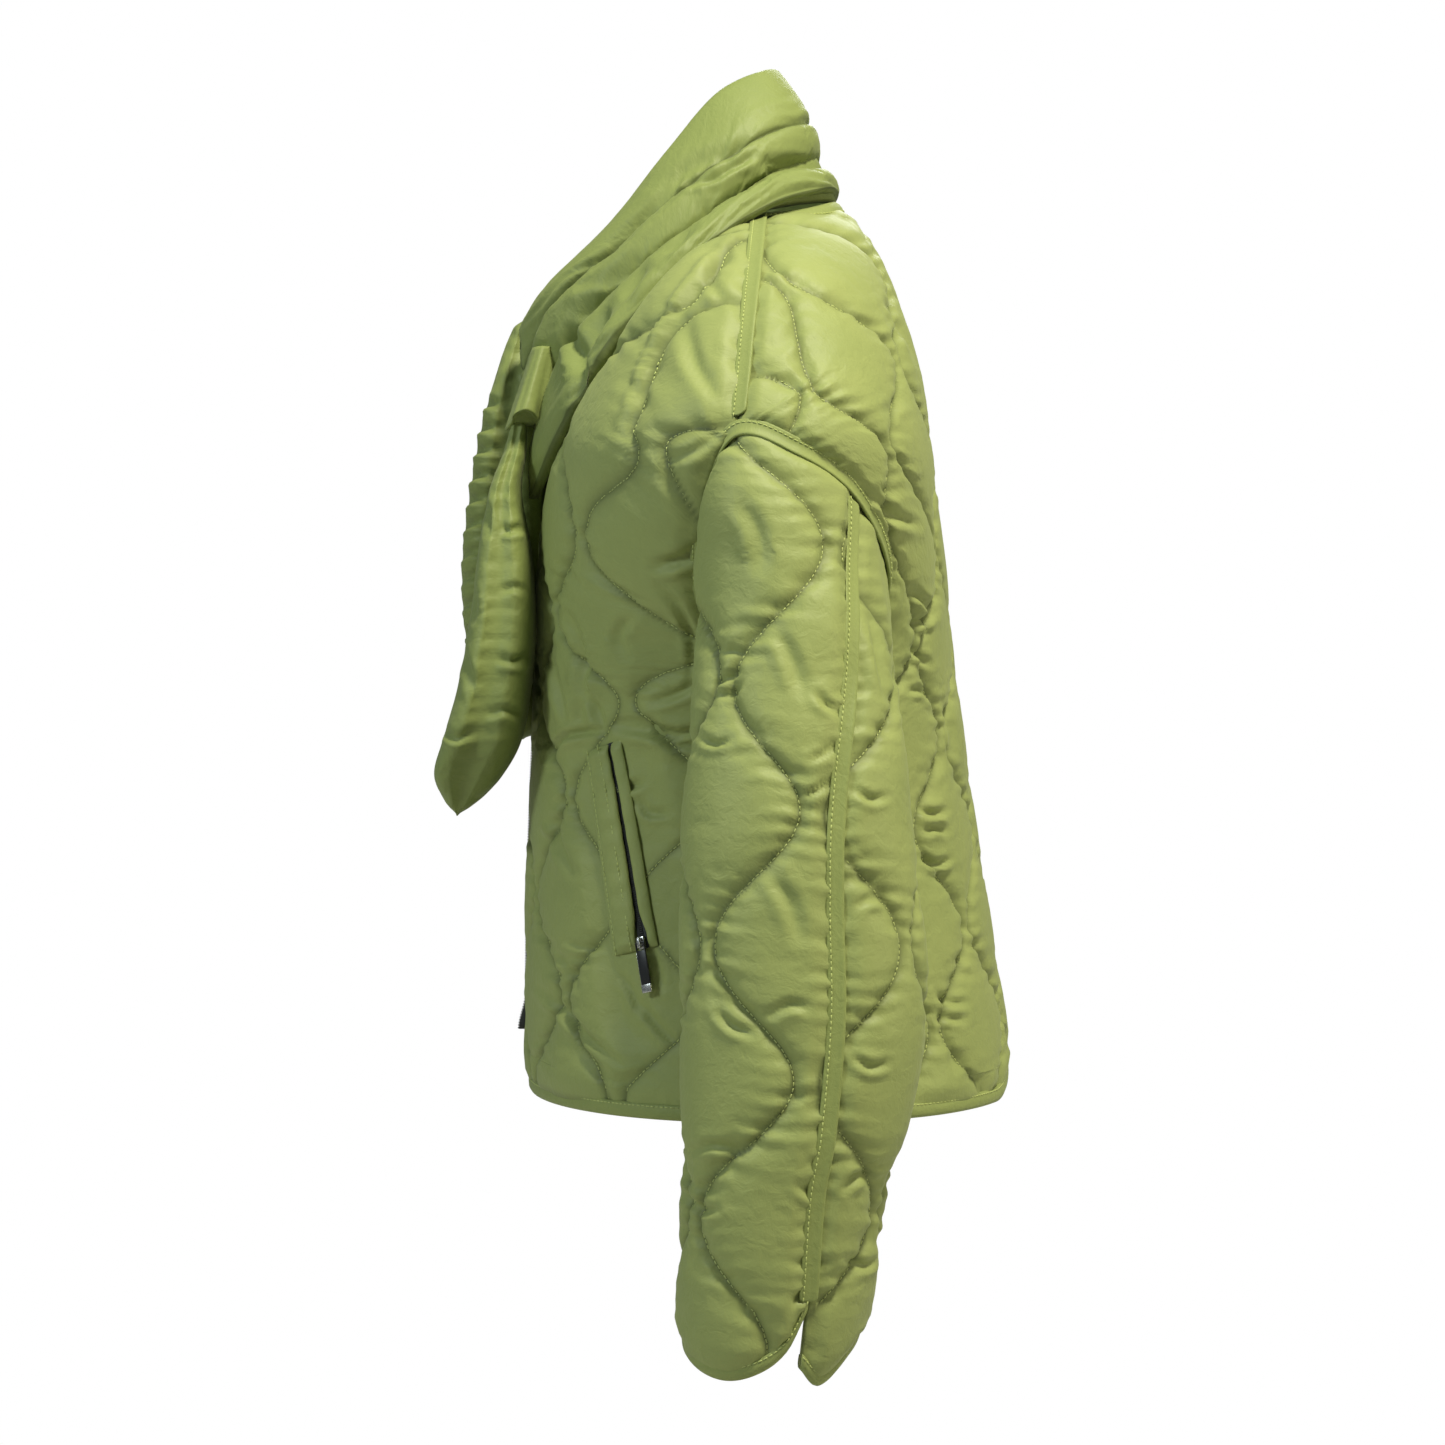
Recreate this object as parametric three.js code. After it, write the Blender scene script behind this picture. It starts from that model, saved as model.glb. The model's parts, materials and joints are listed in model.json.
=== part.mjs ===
// An oversized quilted jacket with a scarf collar, filled out as it hangs when it is worn.
// Millimetres, +Z up. The wearer's left is +X and the front faces -Y.
// The origin is the middle of the neck opening, level with the neck ends of the shoulder seams.
import * as THREE from 'three';
import { mergeVertices } from 'three/addons/utils/BufferGeometryUtils.js';

// Driving sizes
const WALL = 3; // shell, wadding and lining where the quilting holds them together
const SCARF_WALL = 7; // the scarf collar is stuffed thicker
const PUFF = 7; // how far the wadding rises between two rows of quilting
const HEM_Z = -626;
const NECK_HALF = 86; // half the width of the neck opening
const NECK_DROP = 85; // the front neck point below the origin
const NAPE_RISE = 20;
const FRONT_EDGE = 4; // each front stops this far from the middle
const CORNER = 30; // radius of the rounded front hem corners
// Where a facet row that starts at a place on the side or armhole meets the middle of its panel.
const MIDDLE_ROWS = {
  front: [
    { row: 0, z: -626 },
    { row: 13, z: -380 },
    { row: 19, z: -264 },
    { row: 22, z: -192 },
    { row: 32, z: -85 },
  ],
  back: [
    { row: 0, z: -626 },
    { row: 13, z: -376 },
    { row: 19, z: -258 },
    { row: 22, z: -188 },
    { row: 28, z: -96 },
    { row: 38, z: 20 },
  ],
};
const HEM_KICK = { rise: 24, reach: 120 }; // the back hem lifts in the middle
const CUFF_Z = -772;
const SHOULDER_HEIGHTS = [-172, -150, -120, -90, -60, -34, -15, -5, 0];
const SEAM_GAP = 0.4; // between two pieces sewn edge to edge
const ALLOWANCE = { width: 9, most: 0.6 }; // the flat strip beside a seam, at most this share of one facet
const TAPE = { half: 6.5, thick: 1.4, lift: 0.5 };
const BINDING = { width: 8, thick: 1.6, lift: 0.7 };
const ROUNDNESS = 2.2; // 2 is an ellipse, more is squarer
const FACETS = { sideSeam: 13, shoulder: 10, frontNeck: 14, backNeck: 13, sleeveSeam: 23, belowSeam: 1 };
const ARMHOLE_STEP = 15; // degrees between two facet corners of the armhole seam

// The quilting: wavy rows, each the mirror of the next, so that they draw onion shapes.
const QUILT = { spacing: 66, wave: 26 };
const ROWS = {
  front: { from: 243, period: 138, crest: -207, turn: -1 },
  back: { from: 165, period: 135, crest: -299, turn: 1 },
  sleeve: { from: 19, period: 168, crest: -334, turn: 1 },
};

// Horizontal sections of the body, from above the neck down to the hem.
const BODY = [
  { z: 60, half: 66, front: -52, back: 50, mid: 2 },
  { z: 20, half: 77, front: -62, back: 58, mid: 2 },
  { z: 0, half: 86, front: -72, back: 72, mid: 0 },
  { z: -15, half: 126, front: -79, back: 81, mid: -2 },
  { z: -34, half: 163, front: -88, back: 89, mid: 0 },
  { z: -60, half: 201, front: -102, back: 99, mid: 2 },
  { z: -90, half: 231, front: -116, back: 107, mid: 5 },
  { z: -123, half: 254, front: -131, back: 115, mid: 10 },
  { z: -172, half: 280, front: -148, back: 122, mid: 15 },
  { z: -215, half: 274, front: -154, back: 126, mid: 17 },
  { z: -260, half: 251, front: -157, back: 132, mid: 18 },
  { z: -300, half: 228, front: -158, back: 136, mid: 18 },
  { z: -340, half: 213, front: -159, back: 141, mid: 16 },
  { z: -400, half: 205, front: -162, back: 149, mid: 13 },
  { z: -500, half: 210, front: -165, back: 164, mid: 11 },
  { z: -626, half: 224, front: -166, back: 184, mid: 10 },
];

// Horizontal sections of the left sleeve.
const SLEEVE = [
  { z: -160, x: 232, halfX: 42, y: 20, halfY: 41 },
  { z: -215, x: 247, halfX: 51, y: 20, halfY: 49 },
  { z: -260, x: 256, halfX: 51, y: 20, halfY: 50 },
  { z: -300, x: 264, halfX: 52, y: 22, halfY: 54 },
  { z: -334, x: 270, halfX: 52, y: 22, halfY: 59 },
  { z: -372, x: 281, halfX: 51, y: 22, halfY: 64 },
  { z: -430, x: 288, halfX: 54, y: 22, halfY: 69 },
  { z: -475, x: 291, halfX: 55, y: 24, halfY: 72 },
  { z: -540, x: 297, halfX: 55, y: 26, halfY: 74 },
  { z: -617, x: 303, halfX: 52, y: 20, halfY: 67 },
  { z: -655, x: 302, halfX: 51, y: 14, halfY: 61 },
  { z: -720, x: 299, halfX: 50, y: 8, halfY: 58 },
  { z: -800, x: 294, halfX: 47, y: 0, halfY: 49 },
];

// The left armhole seam seen from the side, clockwise in eighths from the front of its top.
const ARMHOLE = [
  { at: 'topFront', y: -16, z: -172 },
  { at: 'top', y: 22, z: -184 },
  { at: 'topBack', y: 57, z: -208 },
  { at: 'back', y: 82, z: -262 },
  { at: 'underBack', y: 58, z: -318 },
  { at: 'under', y: 20, z: -334 },
  { at: 'underFront', y: -18, z: -316 },
  { at: 'front', y: -40, z: -258 },
];

// How far the cuff edge is from the outer sleeve seam, and its height, on each half of the sleeve.
const CUFF = {
  front: [
    { x: 0, z: -728 },
    { x: 9, z: -752 },
    { x: 26, z: -767 },
    { x: 48, z: -772 },
    { x: 80, z: -764 },
    { x: 120, z: -748 },
    { x: 260, z: -742 },
  ],
  back: [
    { x: 0, z: -764 },
    { x: 14, z: -776 },
    { x: 40, z: -760 },
    { x: 70, z: -748 },
    { x: 260, z: -742 },
  ],
};
const SLEEVE_SEAM_END = -722;
// The outer seam's angle round the sleeve, in degrees behind the outermost line.
const SLEEVE_SEAM = [
  { z: -205, turn: 45 },
  { z: -300, turn: 38 },
  { z: -400, turn: 22 },
  { z: -500, turn: 15 },
  { z: -620, turn: 16 },
  { z: -800, turn: 22 },
];

// The left half of the collar, from the middle of the back to the front. Each row is one place
// along it, and the columns follow the cloth from its lower edge up, over the top and down inside.
const COLLAR = [
  { at: 'nape', lower: [0, 62, 31], crease: [0, 49, 53], roll: [0, 50, 70], top: [0, 12, 116], inside: [0, 51.5, 20.8] },
  { at: 'backSide', lower: [58, 50, 27], crease: [46, 38, 50], roll: [44, 34, 70], top: [30, 2, 109], inside: [40, 44.5, 16.4] },
  { at: 'side', lower: [106, 10, 12], crease: [86, 6, 36], roll: [78, 2, 58], top: [50, -26, 88], inside: [80.5, 0, 2.8] },
  { at: 'frontSide', lower: [148, -44, -22], crease: [110, -38, 2], roll: [92, -42, 26], top: [62, -60, 40], inside: [75, -50, -11] },
  { at: 'chest', lower: [160, -86, -66], crease: [112, -80, -36], roll: [90, -88, -12], top: [60, -104, -16], inside: [51, -82, -41] },
  { at: 'front', lower: [140, -132, -128], crease: [92, -130, -92], roll: [72, -140, -58], top: [42, -150, -56], inside: [30, -98, -64] },
  { at: 'end', lower: [66, -163, -196], crease: [46, -163, -150], roll: [30, -171, -108], top: [9, -168, -72], inside: [8, -104, -73] },
];

// The hanging ends of the scarf, from the knot down. Each row is one section.
const LEFT_END = [
  { z: -136, x: 68, half: 7, front: -175, back: -167 },
  { z: -150, x: 69, half: 11, front: -177, back: -167 },
  { z: -168, x: 69, half: 19, front: -181, back: -168.8 },
  { z: -196, x: 69, half: 33, front: -190, back: -172.5 },
  { z: -236, x: 70, half: 44, front: -197, back: -166 },
  { z: -286, x: 72, half: 50, front: -203, back: -162 },
  { z: -336, x: 72, half: 52, front: -212, back: -166 },
  { z: -374, x: 70, half: 48, front: -223, back: -173 },
  { z: -398, x: 68, half: 34, front: -230, back: -186 },
  { z: -416, x: 66, half: 18, front: -224, back: -202 },
  { z: -428, x: 65, half: 5, front: -219, back: -214 },
];
const RIGHT_END = [
  { z: -84, x: -32, half: 24, front: -188, back: -179.4 },
  { z: -104, x: -36, half: 38, front: -194, back: -178.4 },
  { z: -140, x: -38, half: 48, front: -204, back: -177 },
  { z: -190, x: -42, half: 54, front: -213, back: -174 },
  { z: -246, x: -44, half: 58, front: -219, back: -169 },
  { z: -300, x: -46, half: 60, front: -216, back: -168 },
  { z: -350, x: -48, half: 58, front: -206, back: -168 },
  { z: -374, x: -49, half: 52, front: -192, back: -172 },
];
const END_SEAM = 4; // the sewn edges of a scarf end are this thick
// The roll of cloth that the left end comes out from under.
const KNOT = [
  { x: 46, y: -175, z: -150 },
  { x: 53, y: -179, z: -134 },
  { x: 69, y: -181, z: -127 },
  { x: 86, y: -174, z: -135 },
  { x: 93, y: -165, z: -150 },
];
const KNOT_RADIUS = 8;
const COLLAR_PUFF = 5;
const COLLAR_FACETS = { along: 24, across: 12 };

// The front zip's tapes stand on edge between the fronts.
const ZIP_TAPE_Z = { top: -205, bottom: -588, thick: 1.2 };
const ZIP_TAPE = {
  left: { x: 3.12, reach: 1.5, flare: 0 },
  right: { x: -3.12, reach: 6, flare: 5 },
};

// The slanted pocket opening on the left front, the strips beside it and its zip.
const POCKET = { top: [167, -106, -375], bottom: [193, -81, -514], clear: 28, fade: 24 };
const WELT = { from: 5, to: 26, thick: 5, lift: 1.3 };
const LIP = { from: -11, to: -5, thick: 3, lift: 0.9 };
const POCKET_TAPE = { from: -4.4, to: 4.4, thick: 1, lift: 0.9 };
const SLIDER = { at: 0.97, lift: 2.3, wide: 5.6, long: 9, thick: 2.2, arch: 2.1, gap: 2.2, bar: 1.3 };
const TAB = { wide: 7.4, long: 34, thick: 1.6, bar: 1.4, eye: 6.2, eyeLong: 4.4 };

const GREEN = 0x8a9d4c;
const DARK = 0x1b1d16;
const METAL = 0xb9b9b4;
const { abs, sign, sin, cos, PI, hypot, min, max, exp, round, floor, sqrt } = Math;
const mix = (a, b, u) => a + (b - a) * u;
const clamp = (v, lo = 0, hi = 1) => min(hi, max(lo, v));
const smooth = (v) => clamp(v) ** 2 * (3 - 2 * clamp(v));
const radians = (degrees) => (degrees * PI) / 180;
const vec = (x, y, z = 0) => new THREE.Vector3(x, y, z);

// The smooth value of a table's column at a place given by its key column.
function read(rows, key, name, at) {
  const down = rows[0][key] > rows[rows.length - 1][key] ? -1 : 1;
  let i = rows.findIndex((row) => (row[key] - at) * down > 0) - 1;
  if (i === -1) return rows[0][name];
  if (i === -2) return rows[rows.length - 1][name];
  const slope = (j) => {
    const before = rows[max(0, j - 1)];
    const after = rows[min(rows.length - 1, j + 1)];
    return (after[name] - before[name]) / (after[key] - before[key]);
  };
  const [a, b] = [rows[i], rows[i + 1]];
  const span = b[key] - a[key];
  const u = (at - a[key]) / span;
  const bend = u * (1 - u) * span * ((1 - u) * slope(i) - u * slope(i + 1));
  return mix(a[name], b[name], u * u * (3 - 2 * u)) + bend;
}

// The body's form: 0 on its surface, above 0 outside.
function formValue(p) {
  const depth = p.y < read(BODY, 'z', 'mid', p.z) ? 'front' : 'back';
  const mid = read(BODY, 'z', 'mid', p.z);
  const half = read(BODY, 'z', 'half', p.z);
  const reach = abs(read(BODY, 'z', depth, p.z) - mid);
  return ((abs(p.x) / half) ** ROUNDNESS + (abs(p.y - mid) / reach) ** ROUNDNESS) ** (1 / ROUNDNESS) - 1;
}

// Which way the form's surface faces.
function formSlope(p) {
  const h = 0.5;
  const at = (x, y, z) => formValue(vec(p.x + x, p.y + y, p.z + z));
  return vec(at(h, 0, 0) - at(-h, 0, 0), at(0, h, 0) - at(0, -h, 0), at(0, 0, h) - at(0, 0, -h)).divideScalar(2 * h);
}

// Lays a point on the form by the shortest way.
function settle(point) {
  const p = point.clone();
  for (let i = 0; i < 6; i++) {
    const slope = formSlope(p);
    p.addScaledVector(slope, -formValue(p) / slope.lengthSq());
  }
  return p;
}

// A point of the form by its height and its angle round the body from the middle of the front or back.
function onForm(side, angle, z) {
  const facing = side === 'front' ? cos(angle) : -cos(angle);
  const mid = read(BODY, 'z', 'mid', z);
  const reach = abs(read(BODY, 'z', facing > 0 ? 'front' : 'back', z) - mid);
  const scale = (abs(sin(angle)) ** ROUNDNESS + abs(facing) ** ROUNDNESS) ** (-1 / ROUNDNESS);
  return vec(read(BODY, 'z', 'half', z) * scale * sin(angle), mid - reach * scale * facing, z);
}
function angleOf(side, p) {
  const mid = read(BODY, 'z', 'mid', p.z);
  const reach = abs(read(BODY, 'z', p.y < mid ? 'front' : 'back', p.z) - mid);
  const facing = (mid - p.y) / reach;
  return Math.atan2(p.x / read(BODY, 'z', 'half', p.z), side === 'front' ? facing : -facing);
}

// The form's y at a given x, and its x at a given y.
function formY(x, z, side) {
  const mid = read(BODY, 'z', 'mid', z);
  const share = clamp(abs(x) / read(BODY, 'z', 'half', z));
  return mid + (read(BODY, 'z', side, z) - mid) * (1 - share ** ROUNDNESS) ** (1 / ROUNDNESS);
}
function formX(y, z) {
  const mid = read(BODY, 'z', 'mid', z);
  const reach = abs(read(BODY, 'z', y < mid ? 'front' : 'back', z) - mid);
  return read(BODY, 'z', 'half', z) * (1 - clamp(abs(y - mid) / reach) ** ROUNDNESS) ** (1 / ROUNDNESS);
}

const armholeLoop = new THREE.CatmullRomCurve3(ARMHOLE.map((row) => vec(formX(row.y, row.z), row.y, row.z)), true);
// A point of the armhole seam: 0 is its top, 90 its back, 180 or -180 under the arm, -90 its front.
const armhole = (turn) => armholeLoop.getPoint((((turn + 45) / 360) % 1 + 1) % 1);

const steps = (count) => [...Array(count + 1).keys()].map((i) => i / count);
const armholeTurns = (end, start = -45) => steps(abs(start - end) / ARMHOLE_STEP).map((u) => mix(end, start, u));

// A straight-sided line through knots: pieces that share a seam share its knots.
function knotted(knots) {
  return (u) => {
    const at = clamp(u) * (knots.length - 1);
    const i = min(knots.length - 2, floor(at));
    const [a, b] = [knots[i], knots[i + 1]];
    const blended = {};
    for (const name of Object.keys(a)) blended[name] = a[name].clone().lerp(b[name], at - i);
    return blended;
  };
}

// The left sleeve's surface at an angle round it and a height, eased into the armhole at the top.
function sleevePoint(turn, z) {
  const onForm = (height) => {
    const value = (name) => read(SLEEVE, 'z', name, height);
    return vec(value('x') + value('halfX') * cos(radians(turn)), value('y') + value('halfY') * sin(radians(turn)), height);
  };
  const start = armhole(turn);
  const ease = smooth(1 - (start.z - z) / 120);
  return onForm(z).addScaledVector(start.sub(onForm(start.z)), ease);
}
function sleeveNormal(turn, z) {
  const low = min(z, armhole(turn).z - 2);
  const round = sleevePoint(turn + 2, low).sub(sleevePoint(turn - 2, low));
  return round.cross(sleevePoint(turn, low + 1).sub(sleevePoint(turn, low - 1))).normalize();
}
const bodyNormal = (p) => formSlope(p).normalize();
function armholeKnot(turn) {
  const p = armhole(turn);
  return { p, normal: bodyNormal(p).add(sleeveNormal(turn, p.z)).normalize() };
}

// The shoulder seam's knots, from the armhole up to the neck.
function shoulderPoints() {
  const line = new THREE.CatmullRomCurve3(SHOULDER_HEIGHTS.map((z) => {
    const y = ARMHOLE[0].y * clamp(z / ARMHOLE[0].z);
    return z === ARMHOLE[0].z ? armhole(-45) : vec(formX(y, z), y, z);
  }), false, 'centripetal');
  return steps(FACETS.shoulder).map((u) => (u === 0 ? armhole(-45) : settle(line.getPointAt(u))));
}

// One half of a body panel: a patch between its middle, hem, neckline, and the line up its side, armhole and shoulder.
function bodyPanel(side) {
  const isFront = side === 'front';
  const inner = isFront ? FRONT_EDGE : 0;
  const hemWidth = 332;
  const underArm = ARMHOLE[5].z - HEM_Z;
  const neckTop = (isFront ? 30 : 52) - HEM_Z;
  const middleTop = isFront ? -NECK_DROP : NAPE_RISE;
  const flatTop = isFront ? middleTop - HEM_Z : neckTop - 22;
  const hemRise = (x) => {
    if (!isFront) return HEM_KICK.rise * smooth(1 - x / HEM_KICK.reach);
    const into = clamp(CORNER - (x - inner), 0, CORNER);
    return CORNER - sqrt(CORNER ** 2 - into ** 2);
  };
  const withNormal = (p, flat) => ({ p, normal: bodyNormal(p), flat: vec(flat[0], flat[1]) });

  const sideKnots = steps(FACETS.sideSeam).map((u) => {
    const [z, y] = [mix(HEM_Z, ARMHOLE[5].z, u), mix(10, ARMHOLE[5].y, u)];
    return withNormal(vec(formX(y, z), y, z), [mix(hemWidth, 312, u), z - HEM_Z]);
  });
  const armholeFlat = new THREE.CatmullRomCurve3([
    vec(312, underArm), vec(284, underArm + 40), vec(276, underArm + 110), vec(290, underArm + 175), vec(322, underArm + 240),
  ]);
  const turns = armholeTurns(isFront ? -180 : 180);
  const armKnots = turns.map((turn, i) => ({ ...armholeKnot(turn), flat: armholeFlat.getPoint(i / (turns.length - 1)) }));
  const shoulderKnots = shoulderPoints().map((p, i) => {
    const u = i / FACETS.shoulder;
    return withNormal(p, [mix(322, 92, u), mix(underArm + 240, neckTop, u)]);
  });
  const right = knotted([...sideKnots.slice(0, -1), ...armKnots, ...shoulderKnots.slice(1)]);
  const armRow = FACETS.sideSeam + turns.length - 1;
  const rows = armRow + FACETS.shoulder;

  const columns = isFront ? FACETS.frontNeck : FACETS.backNeck;
  const top = knotted(steps(columns).map((u) => {
    const a = ((1 - u) * PI) / 2;
    const z = middleTop * sin(a) ** 2;
    const x = max(inner, NECK_HALF * cos(a));
    const p = u === 1 ? vec(NECK_HALF, 0, 0) : settle(vec(x, formY(x, z, side), z));
    return withNormal(p, [max(inner, 92 * cos(a)), mix(neckTop, flatTop, sin(a))]);
  }));

  const middle = (t) => {
    const low = HEM_Z + hemRise(inner);
    const z = max(low, read(MIDDLE_ROWS[side], 'row', 'z', t * rows)) + (t === 0 ? 0 : hemRise(inner) * (1 - t) ** 4);
    return withNormal(vec(inner, formY(inner, z, side), z), [inner, mix(hemRise(inner), flatTop, (z - low) / (middleTop - low))]);
  };
  const hemArc = new THREE.CatmullRomCurve3(
    steps(16).map((u) => {
      const y = mix(formY(inner, HEM_Z, side), 10, 1 - cos((u * PI) / 2));
      return vec(u === 0 ? inner : formX(y, HEM_Z), y, HEM_Z);
    }),
  );
  const hem = (s) => {
    const along = isFront ? mix(s, s * s, 0.3) : s;
    const flatX = mix(inner, hemWidth, along);
    const p = hemArc.getPointAt(along);
    p.z += hemRise(flatX);
    if (s > 0 && s < 1) p.copy(settle(p));
    return withNormal(p, [flatX, hemRise(flatX)]);
  };
  // The patch is blended as angles and heights, so that every point of it lies on the form.
  const spread = ({ p, flat }) => ({ place: vec(angleOf(side, p), p.z), flat });
  const at = (s, t) => {
    if (s === 0) return middle(t);
    if (s === 1) return right(t);
    if (t === 1) return top(s);
    if (t === 0) return hem(s);
    const blend = (name) => {
      const value = (point) => spread(point)[name];
      const across = (v) => {
        const [a, b] = [value(middle(v)), value(right(v))];
        return vec(mix(a.x, b.x, s), mix(a.y, b.y, mix(s, s ** 3, 0.8)));
      };
      return across(t)
        .addScaledVector(value(hem(s)).clone().sub(across(0)), (1 - t) ** 2)
        .addScaledVector(value(top(s)).clone().sub(across(1)), t ** 2);
    };
    const place = blend('place');
    const p = onForm(side, place.x, place.y);
    return { p, normal: bodyNormal(p), flat: blend('flat') };
  };
  return { at, columns, rows, splitMiddle: isFront, seamRow: FACETS.sideSeam, armRow };
}
// One half of the sleeve, from the outer seam round to the seam under the arm.
function sleevePanel(side) {
  const end = side === 'front' ? -180 : 180;
  const turns = armholeTurns(end, 45).reverse();
  const top = knotted(turns.map((turn) => armholeKnot(turn)));
  const rows = FACETS.belowSeam + FACETS.sleeveSeam;
  const seamStart = FACETS.belowSeam / rows;
  const seamTurn = (z) => read(SLEEVE_SEAM, 'z', 'turn', z);
  const girth = (z) => hypot(read(SLEEVE, 'z', 'halfX', z), read(SLEEVE, 'z', 'halfY', z)) / sqrt(2);
  const widthAt = (z) => radians(abs(end - seamTurn(z))) * girth(z);
  const at = (s, t) => {
    const topZ = armhole(mix(45, end, s)).z;
    const edgeZ = read(CUFF[side], 'x', 'z', s * widthAt(CUFF_Z));
    const z = t < seamStart
      ? mix(edgeZ, SLEEVE_SEAM_END, t / seamStart)
      : mix(SLEEVE_SEAM_END, topZ, (t - seamStart) / (1 - seamStart));
    const turn = mix(mix(seamTurn(z), 45, smooth((t - 0.8) * 5)), end, s);
    const flat = vec(s * widthAt(z) * sign(end), z, 0);
    if (t === 1) return { ...top(s), flat };
    return { p: sleevePoint(turn, z), normal: sleeveNormal(turn, z), flat };
  };
  return { at, columns: turns.length - 1, rows, splitMiddle: true, seamRow: FACETS.belowSeam };
}

// How far a row of quilting is across the flat piece at a height, and a point's distance to the nearest row.
function quiltRow(rows, k, z) {
  const mirror = k % 2 === 0 ? 1 : -1;
  return rows.from + k * QUILT.spacing + QUILT.wave * rows.turn * mirror * cos((2 * PI * (z - rows.crest)) / rows.period);
}
function quiltGap(rows, flat, z) {
  const nearest = round((flat.x - rows.from) / QUILT.spacing);
  const steep = ((2 * PI * QUILT.wave) / rows.period) * sin((2 * PI * (z - rows.crest)) / rows.period);
  const gaps = [-1, 0, 1].map((k) => abs(flat.x - quiltRow(rows, nearest + k, z)));
  return min(...gaps) / sqrt(1 + steep ** 2);
}
const puffOf = (gap) => PUFF * (1 - exp(-((gap / 12) ** 1.4)));

// The facet corners of a panel: its knots, and one more line close beside each edge.
function facetCorners(panel) {
  const lines = (count, startToo) => [
    { at: 0 }, ...(startToo ? [{ beside: 0 }] : []), ...steps(count).slice(1, -1).map((at) => ({ at })), { beside: 1 }, { at: 1 },
  ];
  const place = (line, count, pointAt) => {
    if (line.beside === undefined) return line.at;
    const probe = 0.3 / count;
    const [from, to] = line.beside ? [1, 1 - probe] : [0, probe];
    const share = min(ALLOWANCE.most / count, (ALLOWANCE.width * probe) / pointAt(from).distanceTo(pointAt(to)));
    return line.beside ? 1 - share : share;
  };
  const across = lines(panel.columns, panel.splitMiddle);
  return lines(panel.rows, true).map((up) => across.map((along) => {
    const roughS = along.at ?? along.beside;
    const t = place(up, panel.rows, (v) => panel.at(roughS, v).p);
    const s = place(along, panel.columns, (v) => panel.at(v, t).p);
    return { ...panel.at(s, t), s, t };
  }));
}

// Moves facet corners sideways onto the rows of quilting, so that facet edges follow them, and raises the rest.
function quiltedGrid(panel, rows, { toZ = (flat) => flat.y, press = () => 1 } = {}) {
  const grid = facetCorners(panel);
  const first = panel.splitMiddle ? 2 : 1;
  for (const line of grid.slice(2, -2)) {
    const gapTo = (point, k) => point.flat.x - quiltRow(rows, k, toZ(point.flat));
    for (let k = -9; k <= 9; k++) {
      for (let j = first - 1; j < line.length - 2; j++) {
        const [a, b] = [gapTo(line[j], k), gapTo(line[j + 1], k)];
        if (a * b > 0) continue;
        const share = a / (a - b);
        const near = clamp(share < 0.5 ? j : j + 1, first, line.length - 3);
        if (line[near].onRow || (near !== j && near !== j + 1)) continue;
        const s = mix(line[j].s, line[j + 1].s, share);
        line[near] = { ...panel.at(s, line[near].t), s, t: line[near].t, onRow: true };
      }
    }
  }
  const last = [grid.length - 1, grid[0].length - 1];
  grid.forEach((line, i) => line.forEach((point, j) => {
    const atEdge = i < 2 || i > last[0] - 2 || j > last[1] - 2 || (panel.splitMiddle && j < 2);
    point.puff = atEdge || point.onRow ? 0 : puffOf(quiltGap(rows, point.flat, toZ(point.flat))) * press(point);
  }));
  return grid;
}

// Draws a grid's outer lines in by half the seam gap.
function openSeams(grid, sides = { left: true, right: true, top: true, bottom: true }) {
  const [m, n] = [grid.length - 1, grid[0].length - 1];
  const draw = (point, next) => {
    const away = next.p.clone().sub(point.p);
    point.p.addScaledVector(away.normalize(), SEAM_GAP / 2);
  };
  grid.forEach((line) => {
    if (sides.left) draw(line[0], line[1]);
    if (sides.right) draw(line[n], line[n - 1]);
  });
  grid[0].forEach((point, j) => {
    if (sides.bottom) draw(point, grid[1][j]);
    if (sides.top) draw(grid[m][j], grid[m - 1][j]);
  });
  return grid;
}

const pushed = (point, distance) => point.p.clone().addScaledVector(point.normal, distance);

function geometryOf(points, faces) {
  const geometry = new THREE.BufferGeometry();
  geometry.setAttribute('position', new THREE.Float32BufferAttribute(points.flatMap((p) => [p.x, p.y, p.z]), 3));
  geometry.setIndex(faces.flat());
  return volumeOf(geometry) < 0 ? reversed(geometry) : geometry;
}

function volumeOf(geometry) {
  const [at, index] = [geometry.getAttribute('position'), geometry.index.array];
  const corner = (i) => new THREE.Vector3().fromBufferAttribute(at, index[i]);
  let sum = 0;
  for (let i = 0; i < index.length; i += 3) sum += corner(i).dot(corner(i + 1).cross(corner(i + 2)));
  return sum;
}

function reversed(geometry) {
  const index = geometry.index.array;
  for (let i = 0; i < index.length; i += 3) [index[i], index[i + 1]] = [index[i + 1], index[i]];
  return geometry;
}
const mirrored = (geometry) => reversed(geometry.clone().scale(-1, 1, 1));

// Facets between two closed rings of {id, at}, where at grows from 0 to 4 round the panel.
function ringFaces(outer, inner) {
  const faces = [];
  let [i, j] = [0, 0];
  while (i < outer.length || j < inner.length) {
    const a = outer[i % outer.length].id;
    const b = inner[j % inner.length].id;
    const nextOuter = i < outer.length ? (i + 1 < outer.length ? outer[i + 1].at : 4) : Infinity;
    const nextInner = j < inner.length ? (j + 1 < inner.length ? inner[j + 1].at : 4) : Infinity;
    if (nextOuter <= nextInner) faces.push([a, outer[++i % outer.length].id, b]);
    else faces.push([a, inner[++j % inner.length].id, b]);
  }
  return faces;
}

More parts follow.
